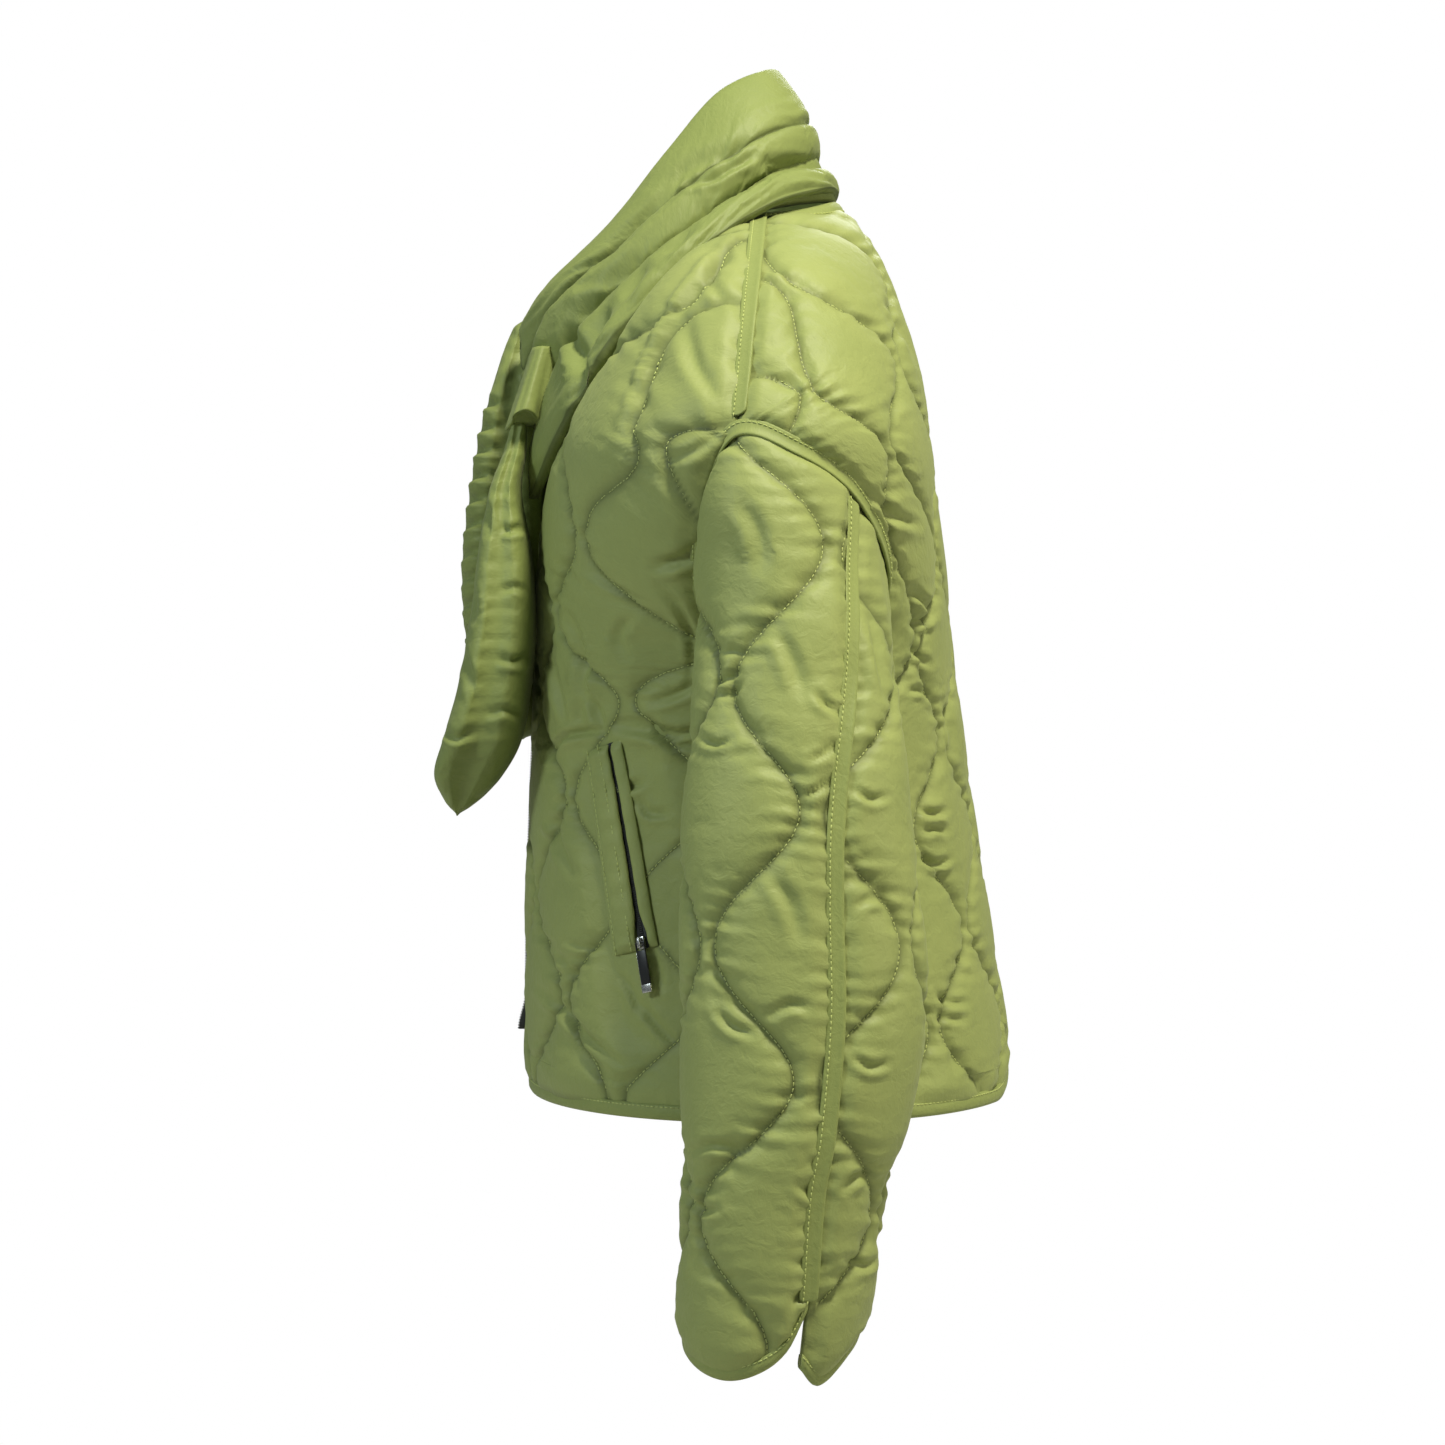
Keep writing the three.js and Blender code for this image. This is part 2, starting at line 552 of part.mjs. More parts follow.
// A closed wall: a full outer grid, a plainer inner grid with half the lines, and a rim between them.
function wallGeometry(grid, wall = WALL) {
  const [m, n] = [grid.length, grid[0].length];
  const points = [];
  const put = (point) => points.push(point) - 1;
  const outer = grid.map((line) => line.map((point) => put(pushed(point, point.puff ?? 0))));
  const faces = [];
  for (let i = 0; i < m - 1; i++) {
    for (let j = 0; j < n - 1; j++) {
      const [a, b, c, d] = [outer[i][j], outer[i][j + 1], outer[i + 1][j + 1], outer[i + 1][j]];
      const puff = (down, along) => grid[i + down][j + along].puff ?? 0;
      if (puff(0, 0) + puff(1, 1) <= puff(0, 1) + puff(1, 0)) faces.push([a, b, c], [a, c, d]);
      else faces.push([a, b, d], [b, c, d]);
    }
  }
  const round = (rows, columns, id) => {
    const [top, right] = [rows.length - 1, columns.length - 1];
    const ring = [];
    columns.slice(0, -1).forEach((j, k) => ring.push({ id: id(rows[0], j), at: k / right }));
    rows.slice(0, -1).forEach((i, k) => ring.push({ id: id(i, columns[right]), at: 1 + k / top }));
    columns.slice(1).reverse().forEach((j, k) => ring.push({ id: id(rows[top], j), at: 2 + k / right }));
    rows.slice(1).reverse().forEach((i, k) => ring.push({ id: id(i, columns[0]), at: 3 + k / top }));
    return ring;
  };
  const all = (count) => [...Array(count).keys()];
  const kept = (count) => all(count).slice(1, -1).filter((i) => i % 2 === 1 || i === count - 2);
  const inside = {};
  const insideId = (i, j) => (inside[`${i},${j}`] ??= put(pushed(grid[i][j], -wall)));
  const outerRing = round(all(m), all(n), (i, j) => outer[i][j]);
  const innerRing = round(all(m), all(n), insideId);
  const [rows, columns] = [kept(m), kept(n)];
  const plainRing = round(rows, columns, insideId);
  faces.push(...ringFaces(outerRing, innerRing).map(([a, b, c]) => [b, a, c]));
  faces.push(...ringFaces(innerRing, plainRing).map(([a, b, c]) => [b, a, c]));
  for (let i = 0; i < rows.length - 1; i++) {
    for (let j = 0; j < columns.length - 1; j++) {
      const id = (down, along) => insideId(rows[i + down], columns[j + along]);
      faces.push([id(0, 0), id(1, 1), id(0, 1)], [id(0, 0), id(1, 0), id(1, 1)]);
    }
  }
  return geometryOf(points, faces);
}

// A closed bar through rings of points; a loop joins its last ring to its first.
function barGeometry(rings, loop = false) {
  const n = rings[0].length;
  const at = (i, j) => (i % rings.length) * n + (j % n);
  const faces = [];
  for (let i = 0; i < rings.length - (loop ? 0 : 1); i++) {
    for (let j = 0; j < n; j++) {
      faces.push([at(i, j), at(i, j + 1), at(i + 1, j + 1)], [at(i, j), at(i + 1, j + 1), at(i + 1, j)]);
    }
  }
  if (!loop) {
    const cap = (i) => THREE.ShapeUtils.triangulateShape(flattened(rings[i]), []).map((f) => f.map((j) => at(i, j)));
    faces.push(...cap(0).map(([a, b, c]) => [a, c, b]), ...cap(rings.length - 1));
  }
  return geometryOf(rings.flat(), faces);
}

// A ring's points in its own plane.
function flattened(ring) {
  const middle = ring.reduce((sum, p) => sum.add(p), vec(0, 0, 0)).divideScalar(ring.length);
  const normal = vec(0, 0, 0);
  ring.forEach((p, i) => normal.add(p.clone().sub(middle).cross(ring[(i + 1) % ring.length].clone().sub(middle))));
  const across = ring[0].clone().sub(middle).projectOnPlane(normal.normalize()).normalize();
  const up = normal.clone().cross(across);
  return ring.map((p) => new THREE.Vector2(p.clone().sub(middle).dot(across), p.clone().sub(middle).dot(up)));
}

// A point between two neighbours of a line, at a fractional index.
function between(line, index) {
  const i = min(line.length - 2, floor(index));
  const share = index - i;
  return { p: line[i].p.clone().lerp(line[i + 1].p, share), normal: line[i].normal.clone().lerp(line[i + 1].normal, share) };
}
// The point of the facet strip beside an edge that is this far from the edge.
function inFrom(edge, beside, distance) {
  const share = min(1, distance / edge.p.distanceTo(beside.p));
  return { p: edge.p.clone().lerp(beside.p, share), normal: edge.normal.clone().lerp(beside.normal, share) };
}

// A tape sewn over a seam: each station has the seam's point and the points beside it on both pieces.
function tapeGeometry(stations, { loop = false, lift = TAPE.lift } = {}) {
  const rings = stations.map(({ edge, first, second, half = TAPE.half }) => {
    const [a, b] = [inFrom(edge, first, half), inFrom(edge, second, half)];
    const [low, high] = [lift, lift + TAPE.thick];
    return [pushed(a, low), pushed(edge, low), pushed(b, low), pushed(b, high), pushed(edge, high), pushed(a, high)];
  });
  return barGeometry(rings, loop);
}

// A binding folded over an edge: each station has the edge's point and the point beside it.
function bindingGeometry(stations) {
  const { width, thick, lift } = BINDING;
  return barGeometry(stations.map(({ edge, beside }) => {
    const away = edge.p.clone().sub(beside.p).normalize();
    const leg = inFrom(edge, beside, width);
    const past = (distance, out) => pushed(edge, distance).addScaledVector(away, out);
    return [
      pushed(leg, lift + thick), past(lift + thick, lift + thick), past(-WALL, lift + thick),
      past(-WALL, lift), past(lift, lift), pushed(leg, lift),
    ];
  }));
}

// The stuffed pillow shape of a scarf end.
function pillowGeometry(rows) {
  const round = 14;
  return barGeometry(rows.map((row) => {
    const [middle, depth] = [(row.front + row.back) / 2, (row.back - row.front) / 2];
    return steps(round).slice(0, -1).map((u) => {
      const [c, s] = [cos(2 * PI * u), sin(2 * PI * u)];
      const thick = mix(END_SEAM / 2, depth, abs(s) ** 0.8);
      return vec(row.x + row.half * c, middle + (s < 0 ? -1 : 1) * min(thick, depth) * (abs(s) < 0.01 ? 0 : 1), row.z);
    });
  }));
}

const meshes = [];
function add(name, geometry, { color = GREEN, roughness = 0.6, metalness = 0 } = {}) {
  const mesh = new THREE.Mesh(geometry, new THREE.MeshStandardMaterial({ color, roughness, metalness }));
  mesh.name = name;
  meshes.push(mesh);
  return mesh;
}
function addPair(name, geometry, finish) {
  add(`${name}_left`, geometry, finish);
  add(`${name}_right`, mirrored(geometry), finish);
}

const panels = {
  front: bodyPanel('front'),
  back: bodyPanel('back'),
  sleeveFront: sleevePanel('front'),
  sleeveBack: sleevePanel('back'),
};

// Where two surfaces lie against each other the wadding is pressed flat.
const pocketLine = new THREE.Line3(settle(vec(...POCKET.top)), settle(vec(...POCKET.bottom)));
const pocketDown = pocketLine.end.clone().sub(pocketLine.start).normalize();
const pressedLine = new THREE.Line3(pocketLine.start, pocketLine.end.clone().addScaledVector(pocketDown, TAB.long));
const besidePocket = ({ p }) => smooth((pressedLine.closestPointToPoint(p, true, vec(0, 0, 0)).distanceTo(p) - POCKET.clear) / POCKET.fade);
const collarEdge = COLLAR.map(({ lower: [x, y, z] }) => ({ turn: Math.atan2(y, x), z })).sort((a, b) => a.turn - b.turn);
const underCollar = ({ p }) => {
  const edge = read(collarEdge, 'turn', 'z', Math.atan2(p.y, abs(p.x)));
  return mix(0.05, 1, smooth((edge - p.z - 4) / 26));
};
const underArmpit = ({ p }) => mix(1, 0.2, smooth((abs(p.x) - 180) / 25) * smooth((-280 - p.z) / 30));
const pressBody = (point) => underCollar(point) * underArmpit(point);
const pressFront = (point) => pressBody(point) * besidePocket(point);
const pressSleeve = ({ p }) => mix(0.2, 1, smooth((p.x - read(SLEEVE, 'z', 'x', p.z) + 24) / 24));
const toHeight = (flat) => flat.y + HEM_Z;

const front = openSeams(quiltedGrid(panels.front, ROWS.front, { toZ: toHeight, press: pressFront }));
const backLeft = openSeams(quiltedGrid(panels.back, ROWS.back, { toZ: toHeight, press: pressBody }),
  { right: true, top: true, bottom: true });
const sleeveFront = openSeams(quiltedGrid(panels.sleeveFront, ROWS.sleeve, { press: pressSleeve }));
const sleeveBack = openSeams(quiltedGrid(panels.sleeveBack, ROWS.sleeve, { press: pressSleeve }));
const overMiddle = (point) => ({
  ...point,
  p: vec(-point.p.x, point.p.y, point.p.z),
  normal: vec(-point.normal.x, point.normal.y, point.normal.z),
});
addPair('front', wallGeometry(front));
add('back', wallGeometry(backLeft.map((line) => [...line.slice(1).reverse().map(overMiddle), ...line])));
addPair('sleeve_front', wallGeometry(sleeveFront));
addPair('sleeve_back', wallGeometry(sleeveBack));

// Lines of a grid
const column = (grid, j) => grid.map((line) => line.at(j));
const edgeAndBeside = (edge, beside) => edge.map((point, i) => ({ edge: point, beside: beside[i] }));

// Tapes over the seams
const shoulderLines = [[front, -1, panels.front], [front, -2, panels.front], [backLeft, -2, panels.back]].map(
  ([grid, j, panel]) => column(grid, j).slice(panel.armRow + 1).filter((_, i, line) => i !== line.length - 2),
);
const shoulderStations = [0.4, ...steps(FACETS.shoulder).slice(1, -1).map((u) => u * FACETS.shoulder), FACETS.shoulder - 0.4];
addPair('shoulder_binding', tapeGeometry(shoulderStations.map((at) => ({
  edge: between(shoulderLines[0], at),
  first: between(shoulderLines[1], at),
  second: between(shoulderLines[2], at),
}))));
const sleeveSeam = [...Array(FACETS.sleeveSeam + 1).keys()].map((k) => k + FACETS.belowSeam + 1);
addPair('sleeve_binding', tapeGeometry(sleeveSeam.slice(0, -1).map((i) => ({
  edge: sleeveFront[i][0],
  first: sleeveFront[i][1],
  second: sleeveBack[i][1],
}))));

// Round the armhole the knots of body and sleeve are matched by their angle.
const bodySide = {};
const sleeveSide = {};
for (const [grid, end] of [[front, -180], [backLeft, 180]]) {
  const knots = armholeTurns(end);
  knots.forEach((turn, k) => {
    const i = panels.front.seamRow + 1 + k;
    bodySide[turn] ??= { edge: grid[i].at(-1), beside: grid[i].at(-2) };
  });
}
for (const [grid, end] of [[sleeveFront, -180], [sleeveBack, 180]]) {
  const knots = armholeTurns(end, 45).reverse();
  knots.forEach((turn, k) => {
    const j = k === 0 ? 0 : k + 1 + (k === knots.length - 1 ? 1 : 0);
    sleeveSide[turn] ??= { edge: grid.at(-1)[j], beside: grid.at(-2)[j] };
  });
}
const armholeStations = Object.keys(bodySide).map(Number).filter((turn) => turn > -180).sort((a, b) => a - b);
addPair('armhole_binding', tapeGeometry(armholeStations.map((turn) => ({
  edge: bodySide[turn].edge,
  first: bodySide[turn].beside,
  second: sleeveSide[turn].beside,
  half: mix(2.5, TAPE.half, smooth((bodyNormal(armhole(turn)).dot(sleeveNormal(turn, armhole(turn).z)) + 0.85) / 0.9)),
})), { loop: true, lift: 1.15 }));

// Bindings over the open edges
const overEdge = (stations) => stations.map(({ edge, beside }) => ({ edge: overMiddle(edge), beside: overMiddle(beside) })).reverse();
const bothHalves = (left) => [...overEdge(left), ...left];
const hemFront = edgeAndBeside(front[0], front[1]).slice(2);
const hemBack = edgeAndBeside(backLeft[0], backLeft[1]);
const hemLeft = [...hemBack.slice(0, -1), ...hemFront.reverse()];
add('hem_binding', bindingGeometry([...overEdge(hemLeft.slice(1)), ...hemLeft]));
const neckFront = edgeAndBeside(front.at(-1), front.at(-2)).slice(1).filter((_, i, line) => i !== line.length - 2);
const neckBack = edgeAndBeside(backLeft.at(-1), backLeft.at(-2)).slice(0, -2);
neckFront.at(-1).beside = front.at(-3).at(-1);
const neckLeft = [...neckBack, ...neckFront.reverse()];
add('neck_binding', bindingGeometry([...overEdge(neckLeft.slice(1)), ...neckLeft]));
for (const [name, grid] of [['front', sleeveFront], ['back', sleeveBack]]) {
  addPair(`cuff_binding_${name}`, bindingGeometry(edgeAndBeside(grid[0], grid[1]).slice(1, -1)));
}

// The collar: one stuffed wall from inside the neck, over the top fold, and down outside in two rolls.
const collarRails = ['inside', 'top', 'roll', 'crease', 'lower'];
const collarLine = (rail) => new THREE.CatmullRomCurve3(
  [...COLLAR.slice(1).reverse().map((row) => vec(-row[rail][0], row[rail][1], row[rail][2])), ...COLLAR.map((row) => vec(...row[rail]))],
);
const rails = collarRails.map(collarLine);
const collarGrid = steps(COLLAR_FACETS.along).map((u) => {
  const profile = new THREE.CatmullRomCurve3(rails.map((rail) => rail.getPoint(u)));
  return steps(COLLAR_FACETS.across).map((v) => {
    const fold = v * 4 - 1;
    return { p: profile.getPoint(v), puff: fold < 0 ? 0 : COLLAR_PUFF * abs(sin(PI * (fold < 1 ? fold : fold))) ** 0.7 };
  });
});
collarGrid.forEach((line, i) => line.forEach((point, j) => {
  const near = (di, dj) => collarGrid[clamp(i + di, 0, collarGrid.length - 1)][clamp(j + dj, 0, line.length - 1)].p;
  point.normal = near(0, 1).clone().sub(near(0, -1)).cross(near(1, 0).clone().sub(near(-1, 0))).normalize();
}));
add('collar', wallGeometry(collarGrid, SCARF_WALL));

add('scarf_end_left', pillowGeometry(LEFT_END));
add('scarf_end_right', pillowGeometry(RIGHT_END));
const knot = new THREE.CatmullRomCurve3(KNOT.map((row) => vec(row.x, row.y, row.z)));
const knotFrame = knot.computeFrenetFrames(10);
add('scarf_loop', barGeometry(steps(10).map((u, i) => steps(8).slice(0, -1).map((v) => {
  const radius = KNOT_RADIUS * mix(0.7, 1, sin(PI * u));
  return knot.getPoint(u)
    .addScaledVector(knotFrame.normals[i], radius * cos(2 * PI * v))
    .addScaledVector(knotFrame.binormals[i], radius * sin(2 * PI * v));
}))));

// Zip tapes along the front edges, standing on edge
function stripGeometry(path, halfWide) {
  return barGeometry(path.map(({ back, front: fore, x }) => [
    vec(x - halfWide, back.y, back.z), vec(x + halfWide, back.y, back.z),
    vec(x + halfWide, fore.y, fore.z), vec(x - halfWide, fore.y, fore.z),
  ]));
}
for (const [side, { x, reach, flare }] of Object.entries(ZIP_TAPE)) {
  const path = steps(12).map((u) => {
    const z = mix(ZIP_TAPE_Z.top, ZIP_TAPE_Z.bottom, u);
    const y = formY(x, z, 'front');
    return { x, back: { y: y + WALL - 0.5, z }, front: { y: y - reach - flare * smooth((u - 0.93) / 0.07), z } };
  });
  add(`zip_tape_${side}`, stripGeometry(path, ZIP_TAPE_Z.thick / 2), { color: DARK });
}

// Pocket trims: strips along the opening, at their own distances to the front and back of it.
const pocketFrame = (u) => {
  const p = settle(pocketLine.at(u, vec(0, 0, 0)));
  const normal = bodyNormal(p);
  return { p, normal, ahead: pocketDown.clone().cross(normal).normalize() };
};
function pocketStrip({ from, to, thick, lift, ends = [0, 1] }) {
  return barGeometry(steps(8).map((u) => {
    const { p, normal, ahead } = pocketFrame(mix(ends[0], ends[1], u));
    const onCloth = (distance) => {
      const at = settle(p.clone().addScaledVector(ahead, distance));
      return { p: at, normal: bodyNormal(at) };
    };
    const [a, middle, b] = [onCloth(from), onCloth((from + to) / 2), onCloth(to)];
    return [pushed(a, lift), pushed(middle, lift), pushed(b, lift), pushed(b, lift + thick * 0.7), pushed(middle, lift + thick), pushed(a, lift + thick * 0.7)];
  }));
}
addPair('pocket_welt', pocketStrip(WELT));
addPair('pocket_lip', pocketStrip(LIP));
addPair('pocket_zip', pocketStrip(POCKET_TAPE), { color: DARK });

// The pocket slider and its pull tab, which swings on the bar under the slider's arch.
const sliderAt = pocketFrame(SLIDER.at);
const sliderBasis = new THREE.Matrix4().makeBasis(pocketDown.clone().projectOnPlane(sliderAt.normal).normalize(), sliderAt.normal,
  pocketDown.clone().projectOnPlane(sliderAt.normal).normalize().cross(sliderAt.normal));
sliderBasis.setPosition(pushed(sliderAt, SLIDER.lift));
const profile = (points) => new THREE.Shape(points.map(([a, o]) => new THREE.Vector2(a, o)));
const acrossShape = (shape, wide) => new THREE.ExtrudeGeometry(shape, { depth: wide, bevelEnabled: false }).translate(0, 0, -wide / 2);
const welded = (geometry) => {
  const bare = geometry.clone();
  bare.deleteAttribute('uv');
  bare.deleteAttribute('normal');
  return mergeVertices(bare, 1e-4);
};
const { long, thick, arch, gap, bar } = SLIDER;
const archShape = profile([
  [-long / 2, 0], [long / 2, 0], [long / 2, thick], [arch + bar, thick], [arch + bar, thick + gap + bar],
  [-arch - bar, thick + gap + bar], [-arch - bar, thick], [-long / 2, thick],
]);
archShape.holes.push(new THREE.Path([[-arch, thick - 0.2], [arch, thick - 0.2], [arch, thick + gap], [-arch, thick + gap]].map(([a, o]) => new THREE.Vector2(a, o))));
addPair('pocket_slider', welded(acrossShape(archShape, SLIDER.wide)).applyMatrix4(sliderBasis), { color: METAL, roughness: 0.3, metalness: 1 });
const tabShape = profile([[-TAB.bar / 2, -TAB.wide / 2], [TAB.long, -TAB.wide / 2], [TAB.long, TAB.wide / 2], [-TAB.bar / 2, TAB.wide / 2]]);
tabShape.holes.push(new THREE.Path([
  [TAB.bar / 2, -TAB.eye / 2], [TAB.bar / 2 + TAB.eyeLong, -TAB.eye / 2],
  [TAB.bar / 2 + TAB.eyeLong, TAB.eye / 2], [TAB.bar / 2, TAB.eye / 2],
].map(([a, w]) => new THREE.Vector2(a, w))));
const tabFlat = new THREE.ExtrudeGeometry(tabShape, { depth: TAB.thick, bevelEnabled: false })
  .translate(0, 0, -TAB.thick / 2).rotateX(PI / 2).translate(0, thick + gap / 2, 0);
addPair('pull_tab', welded(tabFlat).applyMatrix4(sliderBasis), { color: DARK, roughness: 0.35 });

const group = new THREE.Group();
group.add(...meshes);
export default group;
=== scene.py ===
# %% [markdown]
# A quilted jacket is two thin layers of cloth with wadding between them, sewn through along wavy rows.
# The wadding swells between the rows and the thread draws the cloth into small puckers beside them.
# This script cuts each panel flat, drapes it on the jacket's form, sews the rows down, and lets
# Blender's cloth simulation blow the wadding up. Then come the scarf collar, the tapes that cover
# the seams, the pockets with their zips, and the stitches. The form is the one that the solid
# model was made from, so everything lands where the solid pieces are.

# %% Load the frame
import json
import math

import bmesh
import bpy
import numpy as np
from mathutils import Matrix, Vector

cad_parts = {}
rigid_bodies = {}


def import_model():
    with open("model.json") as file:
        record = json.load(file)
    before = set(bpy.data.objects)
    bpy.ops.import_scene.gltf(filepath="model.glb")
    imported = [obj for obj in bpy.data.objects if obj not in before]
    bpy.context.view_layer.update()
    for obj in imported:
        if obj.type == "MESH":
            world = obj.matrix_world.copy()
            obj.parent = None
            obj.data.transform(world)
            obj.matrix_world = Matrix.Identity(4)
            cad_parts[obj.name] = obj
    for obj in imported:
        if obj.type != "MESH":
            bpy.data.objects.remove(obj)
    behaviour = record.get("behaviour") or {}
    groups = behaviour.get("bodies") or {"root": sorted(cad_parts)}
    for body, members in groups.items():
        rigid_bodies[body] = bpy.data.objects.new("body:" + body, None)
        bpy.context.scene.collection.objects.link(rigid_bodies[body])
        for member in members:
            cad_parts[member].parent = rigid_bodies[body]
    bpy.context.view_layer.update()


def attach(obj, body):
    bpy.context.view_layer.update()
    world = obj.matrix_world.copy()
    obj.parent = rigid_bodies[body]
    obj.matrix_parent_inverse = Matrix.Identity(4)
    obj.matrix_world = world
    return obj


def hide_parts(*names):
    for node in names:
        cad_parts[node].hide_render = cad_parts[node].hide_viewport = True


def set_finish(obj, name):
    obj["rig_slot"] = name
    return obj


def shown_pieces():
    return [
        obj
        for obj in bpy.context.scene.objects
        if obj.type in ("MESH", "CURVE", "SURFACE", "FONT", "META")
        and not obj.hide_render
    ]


for leftover in list(bpy.data.objects):
    bpy.data.objects.remove(leftover)
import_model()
MM = 0.001

# %% [markdown]
# The camera stands level on the wearer's left side, about two metres away, and looks along -X.
# A long lens keeps the near sleeve from looking too big beside the far one. The picture is square,
# so the sensor's width is all that its height needs.

# %% Set up the camera
CAMERA_AT = (2.2, -0.026, -0.361)
SENSOR = 36.0
VIEW_WIDTH = 1445 * 0.00074  # what the square picture takes in at the jacket's middle


def add_camera():
    """The camera of the photograph, level and looking along -X."""
    camera = bpy.data.objects.new("camera", bpy.data.cameras.new("camera"))
    bpy.context.scene.collection.objects.link(camera)
    camera.location = CAMERA_AT
    camera.rotation_euler = (math.radians(90), 0, math.radians(90))
    camera.data.sensor_width = SENSOR
    camera.data.lens = SENSOR * CAMERA_AT[0] / VIEW_WIDTH
    bpy.context.scene.camera = camera
    return camera


print("lens", round(add_camera().data.lens, 2), "mm")

# %% [markdown]
# The jacket's form is a stack of rounded sections, in millimetres. Each table has a row for each
# section, and a smooth curve through a column gives its value at any height between them.

# %% Read smooth values from short tables


def table(names, *rows):
    """A short table with named columns, sorted by its first column, which is its key."""
    values = np.array(sorted(rows), float)
    return {"key": values[:, 0], **dict(zip(names.split(), values.T))}


def read(rows, name, at):
    """The smooth value of a column at one or many places of the key."""
    key, value = rows["key"], rows[name]
    last = len(key) - 1
    before, after = np.maximum(np.arange(last + 1) - 1, 0), np.minimum(np.arange(last + 1) + 1, last)
    slope = (value[after] - value[before]) / (key[after] - key[before])
    i = np.clip(np.searchsorted(key, at, side="right") - 1, 0, last - 1)
    span = key[i + 1] - key[i]
    u = np.clip((at - key[i]) / span, 0, 1)
    bend = u * (1 - u) * span * ((1 - u) * slope[i] - u * slope[i + 1])
    return value[i] + (value[i + 1] - value[i]) * u * u * (3 - 2 * u) + bend


def mix(a, b, share):
    return a + (b - a) * share


def smooth(share):
    """0 below 0, 1 above 1 and a soft step between them."""
    share = np.clip(share, 0, 1)
    return share * share * (3 - 2 * share)


BODY = table(
    "z half front back mid",
    (60, 66, -52, 50, 2),
    (20, 77, -62, 58, 2),
    (0, 86, -72, 72, 0),
    (-15, 126, -79, 81, -2),
    (-34, 163, -88, 89, 0),
    (-60, 201, -102, 99, 2),
    (-90, 231, -116, 107, 5),
    (-123, 254, -131, 115, 10),
    (-172, 280, -148, 122, 15),
    (-215, 274, -154, 126, 17),
    (-260, 251, -157, 132, 18),
    (-300, 228, -158, 136, 18),
    (-340, 213, -159, 141, 16),
    (-400, 205, -162, 149, 13),
    (-500, 210, -165, 164, 11),
    (-626, 224, -166, 184, 10),
)
SLEEVE = table(
    "z x half_x y half_y",
    (-160, 232, 42, 20, 41),
    (-215, 247, 51, 20, 49),
    (-260, 256, 51, 20, 50),
    (-300, 264, 52, 22, 54),
    (-334, 270, 52, 22, 59),
    (-372, 281, 51, 22, 64),
    (-430, 288, 54, 22, 69),
    (-475, 291, 55, 24, 72),
    (-540, 297, 55, 26, 74),
    (-617, 303, 52, 20, 67),
    (-655, 302, 51, 14, 61),
    (-720, 299, 50, 8, 58),
    (-800, 294, 47, 0, 49),
)
print("half width under the arms", read(BODY, "half", -300.0), "mm")

# %% [markdown]
# A point of the body's form lies on a section that is a little squarer than an ellipse. `settle`
# lays a point on the form by the shortest way, which keeps seams and trims exactly on the cloth.

# %% Describe the body's form
ROUNDNESS = 2.2
HEM_Z = -626
NECK_HALF = 86
NECK_DROP = 85
NAPE_RISE = 20
FRONT_EDGE = 4


def points_at(x, y, z):
    """Points from three arrays or numbers."""
    return np.stack(np.broadcast_arrays(x, y, z), -1).astype(float)


def unit(v):
    return v / np.maximum(np.linalg.norm(v, axis=-1, keepdims=True), 1e-9)


def depth_of(y, z):
    """How far the form reaches from its middle plane, on the side where y lies."""
    mid = read(BODY, "mid", z)
    return mid, np.abs(np.where(y < mid, read(BODY, "front", z), read(BODY, "back", z)) - mid)


def form_value(p):
    """0 on the body's form, above 0 outside it."""
    x, y, z = np.moveaxis(p, -1, 0)
    mid, reach = depth_of(y, z)
    across, deep = np.abs(x) / read(BODY, "half", z), np.abs(y - mid) / reach
    return (across**ROUNDNESS + deep**ROUNDNESS) ** (1 / ROUNDNESS) - 1


def form_slope(p, step=0.5):
    moves = step * np.eye(3)
    return np.stack([form_value(p + m) - form_value(p - m) for m in moves], -1) / (2 * step)


def settle(p):
    for _ in range(6):
        slope = form_slope(p)
        p = p - slope * (form_value(p) / np.maximum((slope**2).sum(-1), 1e-9))[..., None]
    return p


def body_normal(p):
    return unit(form_slope(p))


def on_form(side, angle, z):
    """A point by its height and its angle round the body from the middle of the front or back."""
    facing = np.cos(angle) * (1 if side == "front" else -1)
    mid = read(BODY, "mid", z)
    reach = np.abs(np.where(facing > 0, read(BODY, "front", z), read(BODY, "back", z)) - mid)
    scale = (np.abs(np.sin(angle)) ** ROUNDNESS + np.abs(facing) ** ROUNDNESS) ** (-1 / ROUNDNESS)
    return points_at(read(BODY, "half", z) * scale * np.sin(angle), mid - reach * scale * facing, z)


def angle_of(side, p):
    x, y, z = np.moveaxis(p, -1, 0)
    mid, reach = depth_of(y, z)
    facing = (mid - y) / reach * (1 if side == "front" else -1)
    return np.arctan2(x / read(BODY, "half", z), facing)


def form_y(x, z, side):
    mid = read(BODY, "mid", z)
    share = np.clip(np.abs(x) / read(BODY, "half", z), 0, 1)
    return mid + (read(BODY, side, z) - mid) * (1 - share**ROUNDNESS) ** (1 / ROUNDNESS)


def form_x(y, z):
    mid, reach = depth_of(y, z)
    share = np.clip(np.abs(y - mid) / reach, 0, 1)
    return read(BODY, "half", z) * (1 - share**ROUNDNESS) ** (1 / ROUNDNESS)


print("chest point", settle(points_at(150, -120, -260)).round(1))

# %% [markdown]
# Seams are curves. A centripetal curve passes through every point that it is given without loops,
# which suits an armhole that is drawn with eight points.

# %% Draw smooth lines through a few points


